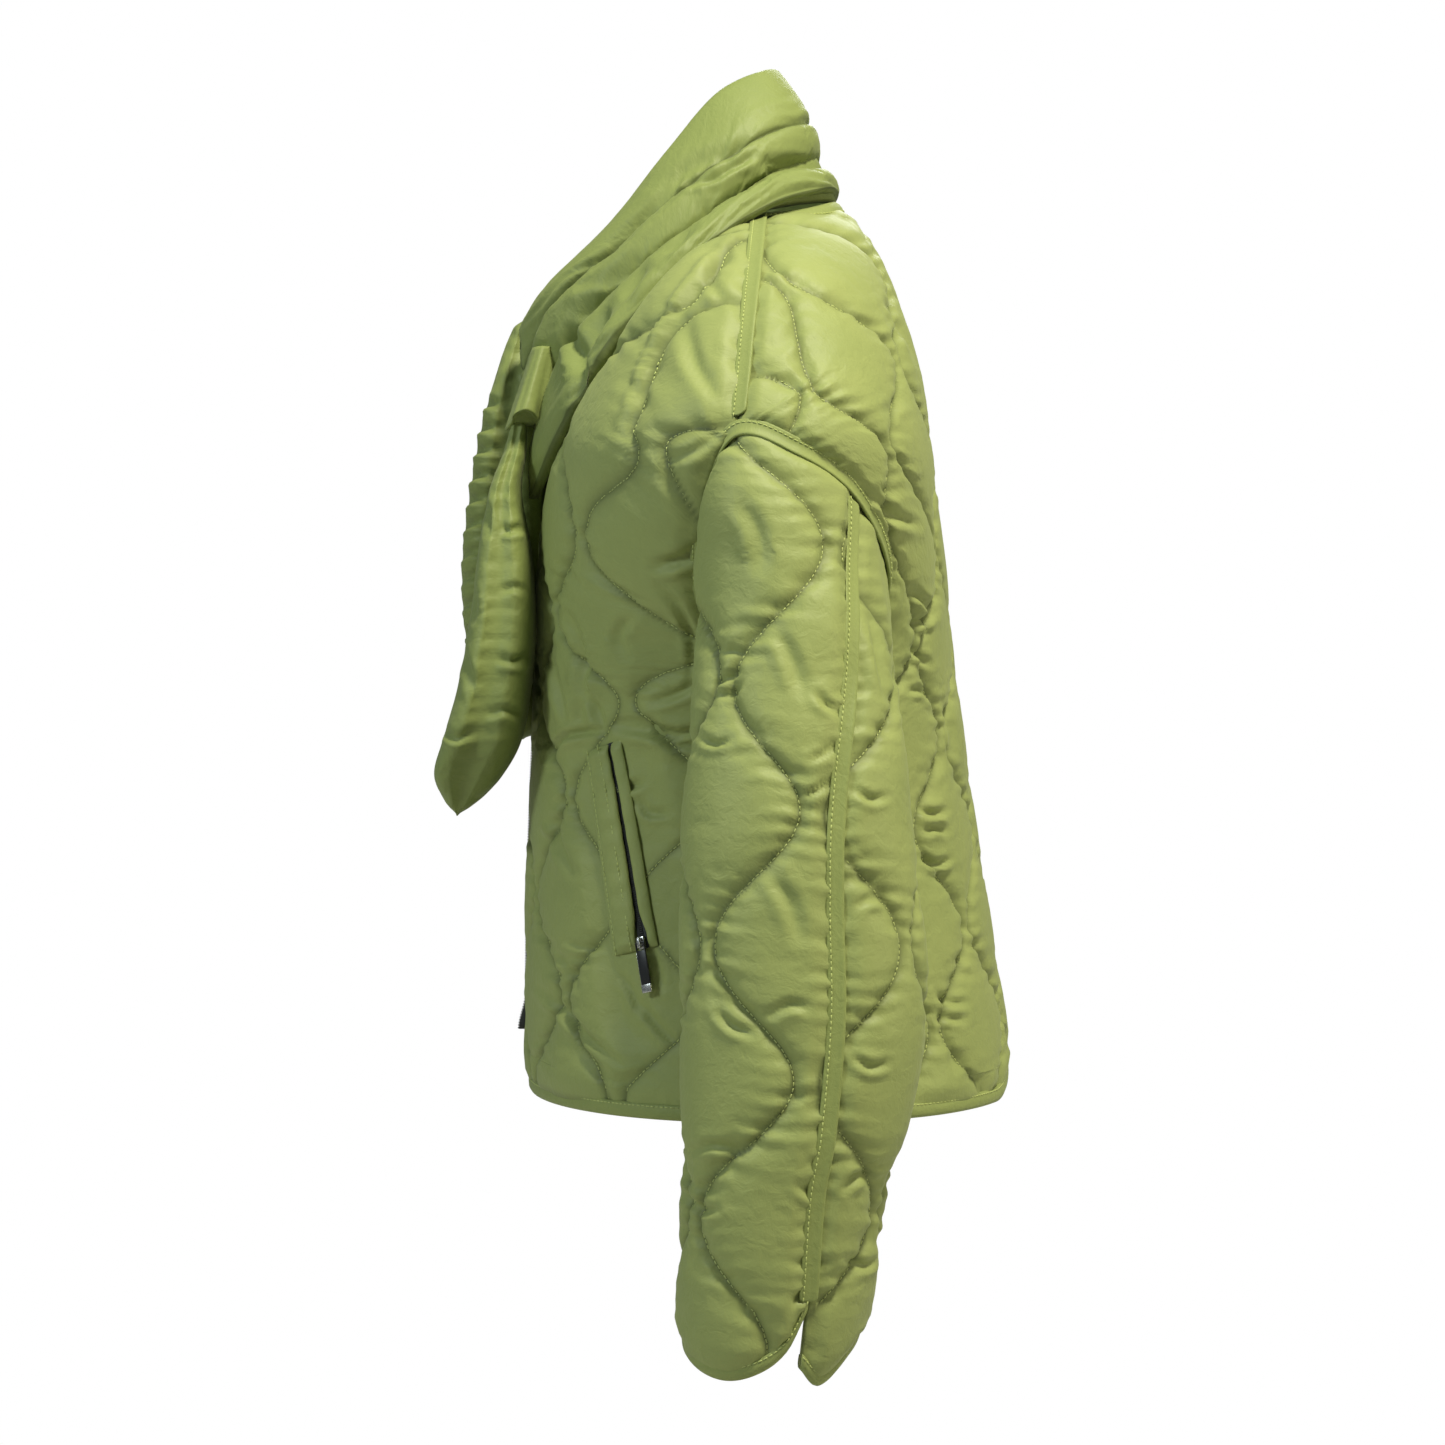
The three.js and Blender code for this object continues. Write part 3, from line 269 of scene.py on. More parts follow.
def smooth_line(points, closed=False):
    """A curve through points, read by its share from 0 to 1."""
    points = np.array(points, float)
    if closed:
        ring = np.concatenate([points[-1:], points, points[:2]])
    else:
        ring = np.concatenate([2 * points[:1] - points[1:2], points, 2 * points[-1:] - points[-2:-1]])
    spans = len(ring) - 3

    def at(share):
        share = np.asarray(share, float)
        place = (share % 1 if closed else np.clip(share, 0, 1)) * spans
        i = np.clip(np.floor(place).astype(int), 0, spans - 1)
        p0, p1, p2, p3 = (ring[i + k] for k in range(4))
        w = (place - i).reshape(place.shape + (1,) * (p1.ndim - place.ndim))
        d0, d1, d2 = (
            np.sqrt(np.maximum(np.linalg.norm(b - a, axis=-1, keepdims=True), 1e-4))
            for a, b in ((p0, p1), (p1, p2), (p2, p3))
        )
        t1 = ((p1 - p0) / d0 - (p2 - p0) / (d0 + d1) + (p2 - p1) / d1) * d1
        t2 = ((p2 - p1) / d1 - (p3 - p1) / (d1 + d2) + (p3 - p2) / d2) * d1
        return p1 + t1 * w + (3 * (p2 - p1) - 2 * t1 - t2) * w**2 + (2 * (p1 - p2) + t1 + t2) * w**3

    return at


def even_line(points, samples=400):
    """The same curve with its share measured along its length."""
    line = smooth_line(points)(np.linspace(0, 1, samples))
    length = np.concatenate([[0], np.cumsum(np.linalg.norm(np.diff(line, axis=0), axis=1))])
    return lambda share: np.stack([np.interp(share, length / length[-1], v) for v in line.T], -1)


# %% [markdown]
# The armhole is one closed curve over the form, low on the side because the shoulder is dropped. The
# body panels and the sleeve both end at it, so it is drawn once and read by an angle.

# %% Draw the armhole
ARMHOLE_YZ = (
    (-16, -172),
    (22, -184),
    (57, -208),
    (82, -262),
    (58, -318),
    (20, -334),
    (-18, -316),
    (-40, -258),
)
armhole_loop = smooth_line([(float(form_x(y, z)), y, z) for y, z in ARMHOLE_YZ], closed=True)


def armhole(turn):
    """A point of the left armhole: 0 is its top, 90 its back, 180 or -180 under the arm."""
    return armhole_loop((np.asarray(turn, float) + 45) / 360)


def sleeve_form(turn, z):
    a = np.radians(turn)
    return points_at(
        read(SLEEVE, "x", z) + read(SLEEVE, "half_x", z) * np.cos(a),
        read(SLEEVE, "y", z) + read(SLEEVE, "half_y", z) * np.sin(a),
        z,
    )


def sleeve_point(turn, z):
    """The left sleeve's surface, eased into the armhole at its top."""
    start = armhole(turn)
    ease = smooth(1 - (start[..., 2] - z) / 120)
    return sleeve_form(turn, z) + (start - sleeve_form(turn, start[..., 2])) * ease[..., None]


def sleeve_normal(turn, z):
    low = np.minimum(z, armhole(turn)[..., 2] - 2)
    around = sleeve_point(turn + 2, low) - sleeve_point(turn - 2, low)
    return unit(np.cross(around, sleeve_point(turn, low + 1) - sleeve_point(turn, low - 1)))


print("armhole top", armhole(0).round(1), "under", armhole(180).round(1))

# %% [markdown]
# A pattern piece is flat before it is sewn. Each panel is described by its four edges, and every
# edge point has both its place on the form and its place on the flat pattern. A patch between the
# four edges then gives the same for any point inside, so quilting drawn on the flat pattern ends up
# at the right place on the jacket. The right edge climbs the side seam, the armhole and the
# shoulder seam in one go, as on the real pattern.

# %% Describe a panel by its edges
SIDE_ROWS, SHOULDER_ROWS, ARMHOLE_STEP = 13, 10, 15
HEM_WIDTH = 332
CORNER = 30
HEM_KICK = {"rise": 24, "reach": 120}
SHOULDER_HEIGHTS = np.array([-172, -150, -120, -90, -60, -34, -15, -5, 0.0])
UNDER_ARM = -334
ARM_CURVE = ((312, 0), (284, 40), (276, 110), (290, 175), (322, 240))
MIDDLE_ROWS = {
    "front": table("row z", (0, -626), (13, -380), (19, -264), (22, -192), (32, -85)),
    "back": table("row z", (0, -626), (13, -376), (19, -258), (22, -188), (28, -96), (38, 20)),
}


def traced(side, shares, points, flats):
    """An edge as angle, height and flat place, read by its share."""
    values = np.column_stack([angle_of(side, points), points[:, 2], flats])
    return lambda share: np.stack([np.interp(share, shares, v) for v in values.T], -1)


def shoulder_seam():
    """Points of the shoulder seam, from the armhole up to the neck."""
    y = -16 * np.clip(SHOULDER_HEIGHTS / -172, 0, 1)
    line = points_at(form_x(y, SHOULDER_HEIGHTS), y, SHOULDER_HEIGHTS)
    line[0] = armhole(-45)
    return settle(even_line(line)(np.linspace(0, 1, 60)))


def right_edge(side):
    """The side seam, then the armhole, then the shoulder seam."""
    arm_end = -180 if side == "front" else 180
    arm_rows = abs(-45 - arm_end) / ARMHOLE_STEP
    rows = SIDE_ROWS + arm_rows + SHOULDER_ROWS
    neck_top = (30 if side == "front" else 52) - HEM_Z
    under = UNDER_ARM - HEM_Z
    u = np.linspace(0, 1, 60)
    z, y = mix(HEM_Z, UNDER_ARM, u), mix(10, 20, u)
    flat = np.stack([mix(HEM_WIDTH, 312, u), z - HEM_Z], -1)
    seams = [(u * SIDE_ROWS, points_at(form_x(y, z), y, z), flat)]
    arm_flat = smooth_line([(x, under + rise) for x, rise in ARM_CURVE])
    seams.append((SIDE_ROWS + u * arm_rows, armhole(mix(arm_end, -45, u)), arm_flat(u)))
    flat = np.stack([mix(322, 92, u), mix(under + 240, neck_top, u)], -1)
    seams.append((SIDE_ROWS + arm_rows + u * SHOULDER_ROWS, shoulder_seam(), flat))
    shares, points, flats = (np.concatenate([seam[k] for seam in seams]) for k in range(3))
    return rows, traced(side, shares / rows, points, flats)


def body_panel(side):
    """The left half of the front or the back."""
    front = side == "front"
    inner = FRONT_EDGE if front else 0
    neck_top = (30 if front else 52) - HEM_Z
    middle_top = -NECK_DROP if front else NAPE_RISE
    flat_top = middle_top - HEM_Z if front else neck_top - 22
    rows, right = right_edge(side)
    u = np.linspace(0, 1, 120)

    def rise(x):
        if not front:
            return HEM_KICK["rise"] * smooth(1 - x / HEM_KICK["reach"])
        into = np.clip(CORNER - (x - inner), 0, CORNER)
        return CORNER - np.sqrt(CORNER**2 - into**2)

    a = (1 - u) * math.pi / 2
    x, z = np.maximum(inner, NECK_HALF * np.cos(a)), middle_top * np.sin(a) ** 2
    neck = settle(points_at(x, form_y(x, z, side), z))
    neck_flat = np.stack([np.maximum(inner, 92 * np.cos(a)), mix(neck_top, flat_top, np.sin(a))], -1)
    top = traced(side, u, neck, neck_flat)

    low = HEM_Z + rise(inner)
    z = np.maximum(low, read(MIDDLE_ROWS[side], "z", u * rows))
    z = z + np.where(u > 0, rise(inner) * (1 - u) ** 4, 0)
    height = mix(rise(inner), flat_top, (z - low) / (middle_top - low))
    flat = np.stack([inner + 0 * u, height], -1)
    middle = traced(side, u, points_at(inner, form_y(inner, z, side), z), flat)

    turn = np.linspace(0, 1, 40)
    y = mix(form_y(inner, HEM_Z, side), 10, 1 - np.cos(turn * math.pi / 2))
    arc = points_at(form_x(y, HEM_Z), y, HEM_Z)
    arc[0, 0] = inner
    along = mix(u, u * u, 0.3) if front else u
    flat_x = mix(inner, HEM_WIDTH, along)
    line = even_line(arc)(along)
    line[:, 2] += rise(flat_x)
    hem = traced(side, u, settle(line), np.stack([flat_x, rise(flat_x)], -1))

    def at(s, t):
        """Place, normal and flat place of points by their shares across and up."""
        eased = mix(s, s**3, 0.8)
        bend = np.stack([s, eased, s, eased], -1)
        up = t[..., None]
        foot, head = mix(middle(0 * t), right(0 * t), bend), mix(middle(0 * t + 1), right(0 * t + 1), bend)
        place = mix(middle(t), right(t), bend) + (1 - up) ** 2 * (hem(s) - foot) + up**2 * (top(s) - head)
        p = on_form(side, place[..., 0], place[..., 1])
        return p, body_normal(p), place[..., 2:] + (0, HEM_Z)

    return {"at": at, "rows": rows}


front_panel, back_panel = body_panel("front"), body_panel("back")
print("front panel rows", front_panel["rows"], "back panel rows", back_panel["rows"])

# %% [markdown]
# A sleeve half runs from the outer seam, under the tape, round to the seam below the arm. Its cuff
# isn't level: it rises towards the outer seam in a small rounded vent.

# %% Describe the sleeve halves
CUFF = {
    "front": table("x z", (0, -728), (9, -752), (26, -767), (48, -772), (80, -764), (120, -748), (260, -742)),
    "back": table("x z", (0, -764), (14, -776), (40, -760), (70, -748), (260, -742)),
}
SEAM_TURN = table("z turn", (-205, 45), (-300, 38), (-400, 22), (-500, 15), (-620, 16), (-800, 22))
SEAM_END = -722
CUFF_Z = -772
SLEEVE_ROWS, ROWS_BELOW = 24, 1


def sleeve_panel(side):
    end = -180 if side == "front" else 180

    def width_at(z):
        girth = np.hypot(read(SLEEVE, "half_x", z), read(SLEEVE, "half_y", z)) / math.sqrt(2)
        return np.radians(np.abs(end - read(SEAM_TURN, "turn", z))) * girth

    def at(s, t):
        top = armhole(mix(45, end, s))[..., 2]
        edge = read(CUFF[side], "z", s * width_at(CUFF_Z))
        start = ROWS_BELOW / SLEEVE_ROWS
        z = np.where(t < start, mix(edge, SEAM_END, t / start), mix(SEAM_END, top, (t - start) / (1 - start)))
        turn = mix(mix(read(SEAM_TURN, "turn", z), 45, smooth((t - 0.8) * 5)), end, s)
        flat = np.stack([s * width_at(z) * np.sign(end), z], -1)
        return sleeve_point(turn, z), sleeve_normal(turn, z), flat

    return {"at": at, "rows": SLEEVE_ROWS}


sleeve_front, sleeve_back = sleeve_panel("front"), sleeve_panel("back")
print("sleeve panels hang to", CUFF_Z, "mm")

# %% [markdown]
# The quilting is a family of wavy rows, each the mirror of the next, so that two neighbours draw a
# string of onion shapes. `row_gap` says how far a flat place is from the nearest row: the wadding
# is thin there and thickest in between. Where something lies on the cloth the wadding is pressed.

# %% Lay out the quilting
QUILT_SPACING, QUILT_WAVE = 66, 26
PUFF = 8.5
ROWS = {
    "front": {"start": 243, "period": 138, "crest": -207, "turn": -1},
    "back": {"start": 165, "period": 135, "crest": -299, "turn": 1},
    "sleeve": {"start": 19, "period": 168, "crest": -334, "turn": 1},
}


def row_place(rows, k, z):
    """How far across the flat piece row k is at a height."""
    mirror = np.where(np.asarray(k) % 2 == 0, 1, -1)
    wave = np.cos(2 * math.pi * (z - rows["crest"]) / rows["period"])
    return rows["start"] + k * QUILT_SPACING + QUILT_WAVE * rows["turn"] * mirror * wave


def row_gap(rows, flat):
    """The distance to the nearest row of quilting."""
    x, z = flat[..., 0], flat[..., 1]
    nearest = np.round((x - rows["start"]) / QUILT_SPACING)
    phase = 2 * math.pi * (z - rows["crest"]) / rows["period"]
    steep = 2 * math.pi * QUILT_WAVE / rows["period"] * np.sin(phase)
    gaps = [np.abs(x - row_place(rows, nearest + k, z)) for k in (-1, 0, 1)]
    return np.min(gaps, axis=0) / np.sqrt(1 + steep**2)


POCKET_TOP, POCKET_END = settle(np.array([(167.0, -106, -375), (193, -81, -514)]))
TAB_LONG = 34
COLLAR_EDGE = table(
    "turn z",
    (-90, -196),
    (-68, -196),
    (-43, -128),
    (-28, -66),
    (-17, -22),
    (5, 12),
    (41, 27),
    (90, 31),
)


def distance_to_line(p, start, end):
    along = end - start
    share = np.clip(((p - start) @ along) / (along @ along), 0, 1)
    return np.linalg.norm(p - start - share[..., None] * along, axis=-1)


def press_body(p):
    """How full the body's wadding is: thin under the collar and beside the arms."""
    turn = np.degrees(np.arctan2(p[..., 1], np.abs(p[..., 0])))
    collar = mix(0.05, 1, smooth((read(COLLAR_EDGE, "z", turn) - p[..., 2] - 4) / 26))
    arm = mix(1, 0.25, smooth((np.abs(p[..., 0]) - 180) / 25) * smooth((-280 - p[..., 2]) / 30))
    return collar * arm


def press_front(p):
    down = unit(POCKET_END - POCKET_TOP)
    return press_body(p) * smooth((distance_to_line(p, POCKET_TOP, POCKET_END + TAB_LONG * down) - 26) / 20)


def press_sleeve(p):
    return mix(0.25, 1, smooth((p[..., 0] - read(SLEEVE, "x", p[..., 2]) + 24) / 24))


print("rows of quilting are", QUILT_SPACING, "mm apart")

# %% [markdown]
# Each panel starts as a plain woven grid with its corners laid out by the patch. Wherever a row of
# quilting crosses a line of the grid, the nearest corner slides onto it, so the sewn corners follow
# the row exactly and the simulation has something to hold.

# %% Weave a grid for a panel
CELL = {"front": (66, 150), "back": (64, 165), "sleeve_front": (50, 124), "sleeve_back": (42, 124)}
SEAM_STRIP = 6.0


def quilted_grid(panel, cells, rows, press, sewn):
    """Corners of a panel: place, normal, flat place, which are sewn down, and how full it is."""
    across, up = cells
    s, t = np.meshgrid(np.linspace(0, 1, across + 1), np.linspace(0, 1, up + 1))
    flat = panel["at"](s, t)[2]
    on_row = np.zeros(s.shape, bool)
    slid = s.copy()
    for k in range(-9, 10):
        gap = flat[..., 0] - row_place(rows, k, flat[..., 1])
        i, j = np.nonzero((gap[:, :-1] * gap[:, 1:] <= 0) & (gap[:, :-1] != gap[:, 1:]))
        share = gap[i, j] / (gap[i, j] - gap[i, j + 1])
        near = j + (share > 0.5)
        inside = (near > 0) & (near < across)
        i, j, share, near = i[inside], j[inside], share[inside], near[inside]
        slid[i, near] = mix(s[i, j], s[i, j + 1], share)
        on_row[i, near] = True
    place, normal, flat = panel["at"](slid, t)
    edge = np.full(s.shape, 99.0)
    for side, line in (("left", 0), ("right", -1)):
        if side in sewn:
            edge = np.minimum(edge, np.linalg.norm(place - place[:, line][:, None], axis=-1))
    for side, line in (("bottom", 0), ("top", -1)):
        if side in sewn:
            edge = np.minimum(edge, np.linalg.norm(place - place[line][None], axis=-1))
    full = press(place)
    return {"place": place, "normal": normal, "flat": flat, "on_row": on_row, "edge": edge, "full": full,
            "gap": row_gap(rows, flat)}


ALL_SIDES = ("left", "right", "bottom", "top")
grids = {
    "front": quilted_grid(front_panel, CELL["front"], ROWS["front"], press_front, ALL_SIDES),
    "back": quilted_grid(back_panel, CELL["back"], ROWS["back"], press_body, ALL_SIDES[1:]),
    "sleeve_front": quilted_grid(sleeve_front, CELL["sleeve_front"], ROWS["sleeve"], press_sleeve, ALL_SIDES),
    "sleeve_back": quilted_grid(sleeve_back, CELL["sleeve_back"], ROWS["sleeve"], press_sleeve, ALL_SIDES),
}


def over_middle(grid, swap=(-1, 1, 1)):
    """The same grid on the other side of the jacket."""
    twin = {name: value[:, ::-1].copy() for name, value in grid.items()}
    twin["place"] = twin["place"] * swap
    twin["normal"] = twin["normal"] * swap
    twin["flat"] = twin["flat"] * swap[:2]
    return twin


def side_by_side(left, right):
    """Two grids that share their middle line, as one."""
    return {name: np.concatenate([left[name][:, :-1], right[name]], axis=1) for name in left}


panels = {"back": side_by_side(over_middle(grids["back"]), grids["back"])}
for name in ("front", "sleeve_front", "sleeve_back"):
    panels[f"{name}_left"] = grids[name]
    panels[f"{name}_right"] = over_middle(grids[name])
print("cells", sum((g["edge"].shape[0] - 1) * (g["edge"].shape[1] - 1) for g in panels.values()))

# %% [markdown]
# Padded cloth is blown up by the cloth simulation. The sewn corners are pinned, a light pressure
# stands in for the wadding, and the cloth beside the thread gets a little more length than it has
# room for, because the thread has drawn it together. That spare length is what makes the puckers.
# Gravity is off: the wadding, not the weight, gives a quilt its shape.

# %% Blow the wadding up
FRAMES = 18
PRESSURE = 4.0
EASE = {"far": -0.012, "near": -0.10}


def sheet_of(name, places, faces_out=True):
    """A sheet woven from one grid, with its corners laid on an array of places in millimetres."""
    rows, columns = places.shape[:2]
    bm = bmesh.new()
    bmesh.ops.create_grid(bm, x_segments=columns - 1, y_segments=rows - 1, size=0.5)
    mesh = bpy.data.meshes.new(name)
    bm.to_mesh(mesh)
    bm.free()
    mesh.vertices.foreach_set("co", (places.reshape(-1, 3) * MM).ravel())
    if not faces_out:
        mesh.flip_normals()
    piece = bpy.data.objects.new(name, mesh)
    bpy.context.scene.collection.objects.link(piece)
    return piece


def weight(piece, name, values):
    """A vertex group with a value from 0 to 1 for each corner."""
    group = piece.vertex_groups.new(name=name)
    levels = np.round(np.clip(values.ravel(), 0, 1) * 20).astype(int)
    for level in range(1, 21):
        group.add(np.nonzero(levels == level)[0].tolist(), level / 20, "REPLACE")
    return group.name


def faces_outward(panel):
    """Whether the grid's own winding agrees with the panel's normals."""
    p, n = panel["place"], panel["normal"]
    i, j = p.shape[0] // 2, p.shape[1] // 2
    return float(np.cross(p[i, j + 1] - p[i, j], p[i + 1, j] - p[i, j]) @ n[i, j]) > 0


def sew(name, panel):
    """The panel's cloth before it is blown up, with its pins and its ease."""
    lift = PUFF * (1 - np.exp(-((panel["gap"] / 12) ** 1.4))) * panel["full"] * smooth(panel["edge"] / 14)
    panel["lift"] = np.where(panel["on_row"], 0, lift)
    start = panel["place"] + panel["normal"] * (panel["lift"] * 0.6)[..., None]
    cloth = sheet_of(f"{name}_cloth", start, faces_outward(panel))
    settings = cloth.modifiers.new("wadding", "CLOTH").settings
    settings.vertex_group_mass = weight(cloth, "sewn", (panel["on_row"] | (panel["edge"] < SEAM_STRIP)) * 1.0)
    near = np.minimum(panel["gap"], panel["edge"])
    settings.vertex_group_shrink = weight(cloth, "drawn", np.exp(-((near / 14) ** 2)))
    settings.shrink_min, settings.shrink_max = EASE["far"], EASE["near"]
    settings.quality = 4
    settings.mass = 0.15
    settings.tension_stiffness = settings.compression_stiffness = 12
    settings.shear_stiffness = 4
    settings.bending_stiffness = 0.04
    settings.air_damping = 3
    settings.use_pressure = True
    settings.uniform_pressure_force = PRESSURE
    settings.effector_weights.gravity = 0
    cloth.modifiers["wadding"].collision_settings.use_collision = False
    cloth.modifiers["wadding"].point_cache.frame_end = FRAMES
    return cloth


def blow_up(cloths):
    """Runs the simulation on all the cloths at once and returns their corners in millimetres."""
    for shown in range(1, FRAMES + 1):
        bpy.context.scene.frame_set(shown)
    depsgraph = bpy.context.evaluated_depsgraph_get()
    found = {}
    for name, cloth in cloths.items():
        mesh = cloth.evaluated_get(depsgraph).data
        corners = np.empty(len(mesh.vertices) * 3)
        mesh.vertices.foreach_get("co", corners)
        found[name] = corners.reshape(-1, 3) / MM
    bpy.context.scene.frame_set(1)
    for cloth in cloths.values():
        mesh = cloth.data
        bpy.data.objects.remove(cloth)
        bpy.data.meshes.remove(mesh)
    return found


def capped(height, most):
    """A height that is held softly below a limit, and hardly goes below the form."""
    return np.where(height > 0, most * np.tanh(height / most), np.maximum(height, -0.6))


# %% [markdown]
# The collar is a wide stuffed scarf that is folded into three rolls, from inside the neck, over the
# top and down outside. Its rails are lines along its length: the two that lie between rolls are
# sewn down, so the simulation puffs the rolls between them and puckers the cloth beside them.

# %% Lay out the scarf collar
COLLAR = (
    # inside, top, seam, valley and lower edge at the nape, then forward to the front end
    ((0, 51.5, 20.8), (0, 12, 116), (0, 38, 78), (0, 49, 53), (0, 60, 29)),
    ((40, 44.5, 16.4), (30, 2, 110), (44, 32, 74), (48, 40, 48), (60, 50, 24)),
    ((80.5, 0, 2.8), (50, -26, 92), (78, 2, 58), (88, 6, 34), (110, 8, 4)),
    ((75, -50, -11), (62, -62, 48), (92, -42, 26), (112, -40, 2), (150, -46, -38)),
    ((51, -82, -41), (60, -106, -8), (90, -90, -12), (114, -84, -34), (160, -92, -88)),
    ((30, -98, -64), (42, -152, -50), (72, -142, -56), (90, -136, -84), (136, -136, -150)),
    ((8, -104, -73), (9, -170, -70), (30, -173, -104), (46, -166, -150), (66, -165, -200)),
)
COLLAR_CELLS = (200, 76)
COLLAR_WALL = 7.0
SEAM_DEPTH, VALLEY_DEPTH, OVERHANG = 2.0, 13.0, 6.0


def both_sides(line):
    """A line on the left, run over the middle from its mirror image on the right."""
    left = np.array(line, float)
    return np.concatenate([left[:0:-1] * (-1, 1, 1), left])


def grid_normals(p):
    """Which way each corner of a grid faces, by its neighbours."""
    across = np.gradient(p, axis=1)
    up = np.gradient(p, axis=0)
    return unit(np.cross(up, across))


def collar_panel():
    """The collar's sheet, with its valleys carved between the rolls."""
    along, across = COLLAR_CELLS
    u = np.linspace(0, 1, along + 1)
    rails = np.stack([smooth_line(both_sides([row[k] for row in COLLAR]))(u) for k in range(5)])
    v = np.linspace(0, 1, across + 1)
    place = smooth_line(rails)(v).transpose(1, 0, 2)
    normal = grid_normals(place)
    fold = np.broadcast_to(v * 4 - 1, place.shape[:2])
    length = np.concatenate([[0], np.cumsum(np.linalg.norm(np.diff(place[:, across // 2], axis=0), axis=1))])
    steps = np.linalg.norm(np.diff(place, axis=1), axis=-1)
    width = np.concatenate([np.zeros((along + 1, 1)), np.cumsum(steps, axis=1)], axis=1)
    flat = np.stack([np.broadcast_to(length[:, None], fold.shape), width], -1)
    rail_width = np.stack([np.array([np.interp(k, fold[0], line) for line in width]) for k in (1, 2)], -1)
    past = width[..., None] - rail_width[:, None]
    gap = np.abs(past).min(-1)
    down = unit(np.gradient(place, axis=1))
    place = place - normal * (SEAM_DEPTH * np.exp(-((past[..., 0] / 4) ** 2)))[..., None]
    place = place - normal * (VALLEY_DEPTH * np.exp(-((np.abs(past[..., 1]) / 10) ** 1.6)))[..., None]
    place = place + down * (OVERHANG * np.exp(-(((past[..., 1] + 7) / 6) ** 2)))[..., None]
    edge = np.minimum(width, width[:, -1:] - width)
    ends = np.minimum(flat[..., 0], length[-1] - flat[..., 0])
    return {"place": place, "normal": normal, "flat": flat, "on_row": gap < 1.3, "gap": gap,
            "edge": np.minimum(edge, ends), "full": np.where(fold < 0, 0.25, 1.0) * np.ones(fold.shape)}


panels["collar"] = collar_panel()
print("collar cells", COLLAR_CELLS, "length", panels["collar"]["flat"][-1, 0, 0].round(), "mm")

# %% [markdown]
# Each hanging end of the scarf is a pillow: two layers sewn together round the edge and stuffed.
# The left end comes to a point, and its edge seam shows down the middle when seen from the side.

# %% Lay out the hanging ends
LEFT_END = table(
    "z x half front back",
    (-136, 68, 7, -175, -167),
    (-150, 69, 11, -177, -167),
    (-168, 69, 19, -181, -168.8),
    (-196, 69, 33, -190, -172.5),
    (-236, 70, 44, -197, -166),
    (-286, 72, 50, -203, -162),
    (-336, 72, 52, -212, -166),
    (-374, 70, 48, -223, -173),
    (-398, 68, 34, -230, -186),
    (-416, 66, 18, -224, -202),
    (-428, 65, 5, -219, -214),
)
RIGHT_END = table(
    "z x half front back",
    (-58, -28, 16, -178, -160),
    (-84, -32, 24, -188, -162),
    (-104, -36, 38, -194, -163),
    (-140, -38, 48, -204, -162),
    (-190, -42, 54, -213, -160),
    (-246, -44, 58, -219, -158),
    (-300, -46, 60, -216, -158),
    (-350, -48, 58, -206, -160),
    (-374, -49, 52, -192, -168),
)
END_CELLS = {"left": (30, 84), "right": (34, 84)}
EDGE_GROOVE = 4.0


def end_layer(rows, cells, front):
    """One layer of a hanging end, from its left edge to its right, and from its foot up."""
    across, up = cells
    u, z = np.meshgrid(np.linspace(-1, 1, across + 1), np.linspace(rows["key"][0], rows["key"][-1], up + 1))
    middle = (read(rows, "front", z) + read(rows, "back", z)) / 2
    depth = (read(rows, "back", z) - read(rows, "front", z)) / 2
    half = read(rows, "half", z)
    arch = (1 - np.abs(u) ** 2.2) ** 0.55 * np.clip(np.minimum(z - z.min(), z.max() - z) / 8, 0, 1) ** 0.5
    groove = np.sign(u) * EDGE_GROOVE * np.exp(-(((1 - np.abs(u)) / 0.07) ** 2)) * smooth(half / 30)
    out = half * np.sin(u * math.pi / 2) - groove
    place = points_at(read(rows, "x", z) + out, middle + depth * arch * (-1 if front else 1), z)
    flat = np.stack([u * half, z], -1)
    edge = np.minimum(half * (1 - np.abs(u)), np.minimum(z - z.min(), z.max() - z))
    normal = grid_normals(place) * (1 if front else -1)
    normal = normal * np.sign((normal * (0, -1 if front else 1, 0)).sum(-1).mean())
    return {"place": place, "normal": normal, "flat": flat, "on_row": edge < 0.5, "gap": edge, "edge": edge,
            "full": np.ones(z.shape)}


for side, rows in (("left", LEFT_END), ("right", RIGHT_END)):
    for layer in ("front", "back"):
        panels[f"scarf_{side}_{layer}"] = end_layer(rows, END_CELLS[side], layer == "front")
print("scarf ends hang to", LEFT_END["key"][0], "and", RIGHT_END["key"][0], "mm")

# %% [markdown]
# The panels are blown up, and what moved is kept in two parts: how far along the form, and how far
# off it. The second is held under a limit, so that no cushion swells past its neighbours.

# %% Run the simulation
HEIGHTS = {"collar": 11.0, "scarf": 6.0}


def height_limit(name, panel):
    """How far the cloth may stand off its form."""
    return 1 + HEIGHTS.get(name.split("_")[0], 1.6 * PUFF) * panel["full"]


cloths = {name: sew(name, panel) for name, panel in panels.items()}
blown = blow_up(cloths)
for name, panel in panels.items():
    moved = blown[name].reshape(panel["place"].shape) - panel["place"]
    height = (moved * panel["normal"]).sum(-1)
    panel["aside"] = moved - panel["normal"] * height[..., None]
    panel["aside"] *= (3 / np.maximum(3, np.linalg.norm(panel["aside"], axis=-1)))[..., None]
    panel["held"] = capped(height, height_limit(name, panel))
    print(name, "rises", np.percentile(panel["held"], 95).round(1), "mm")
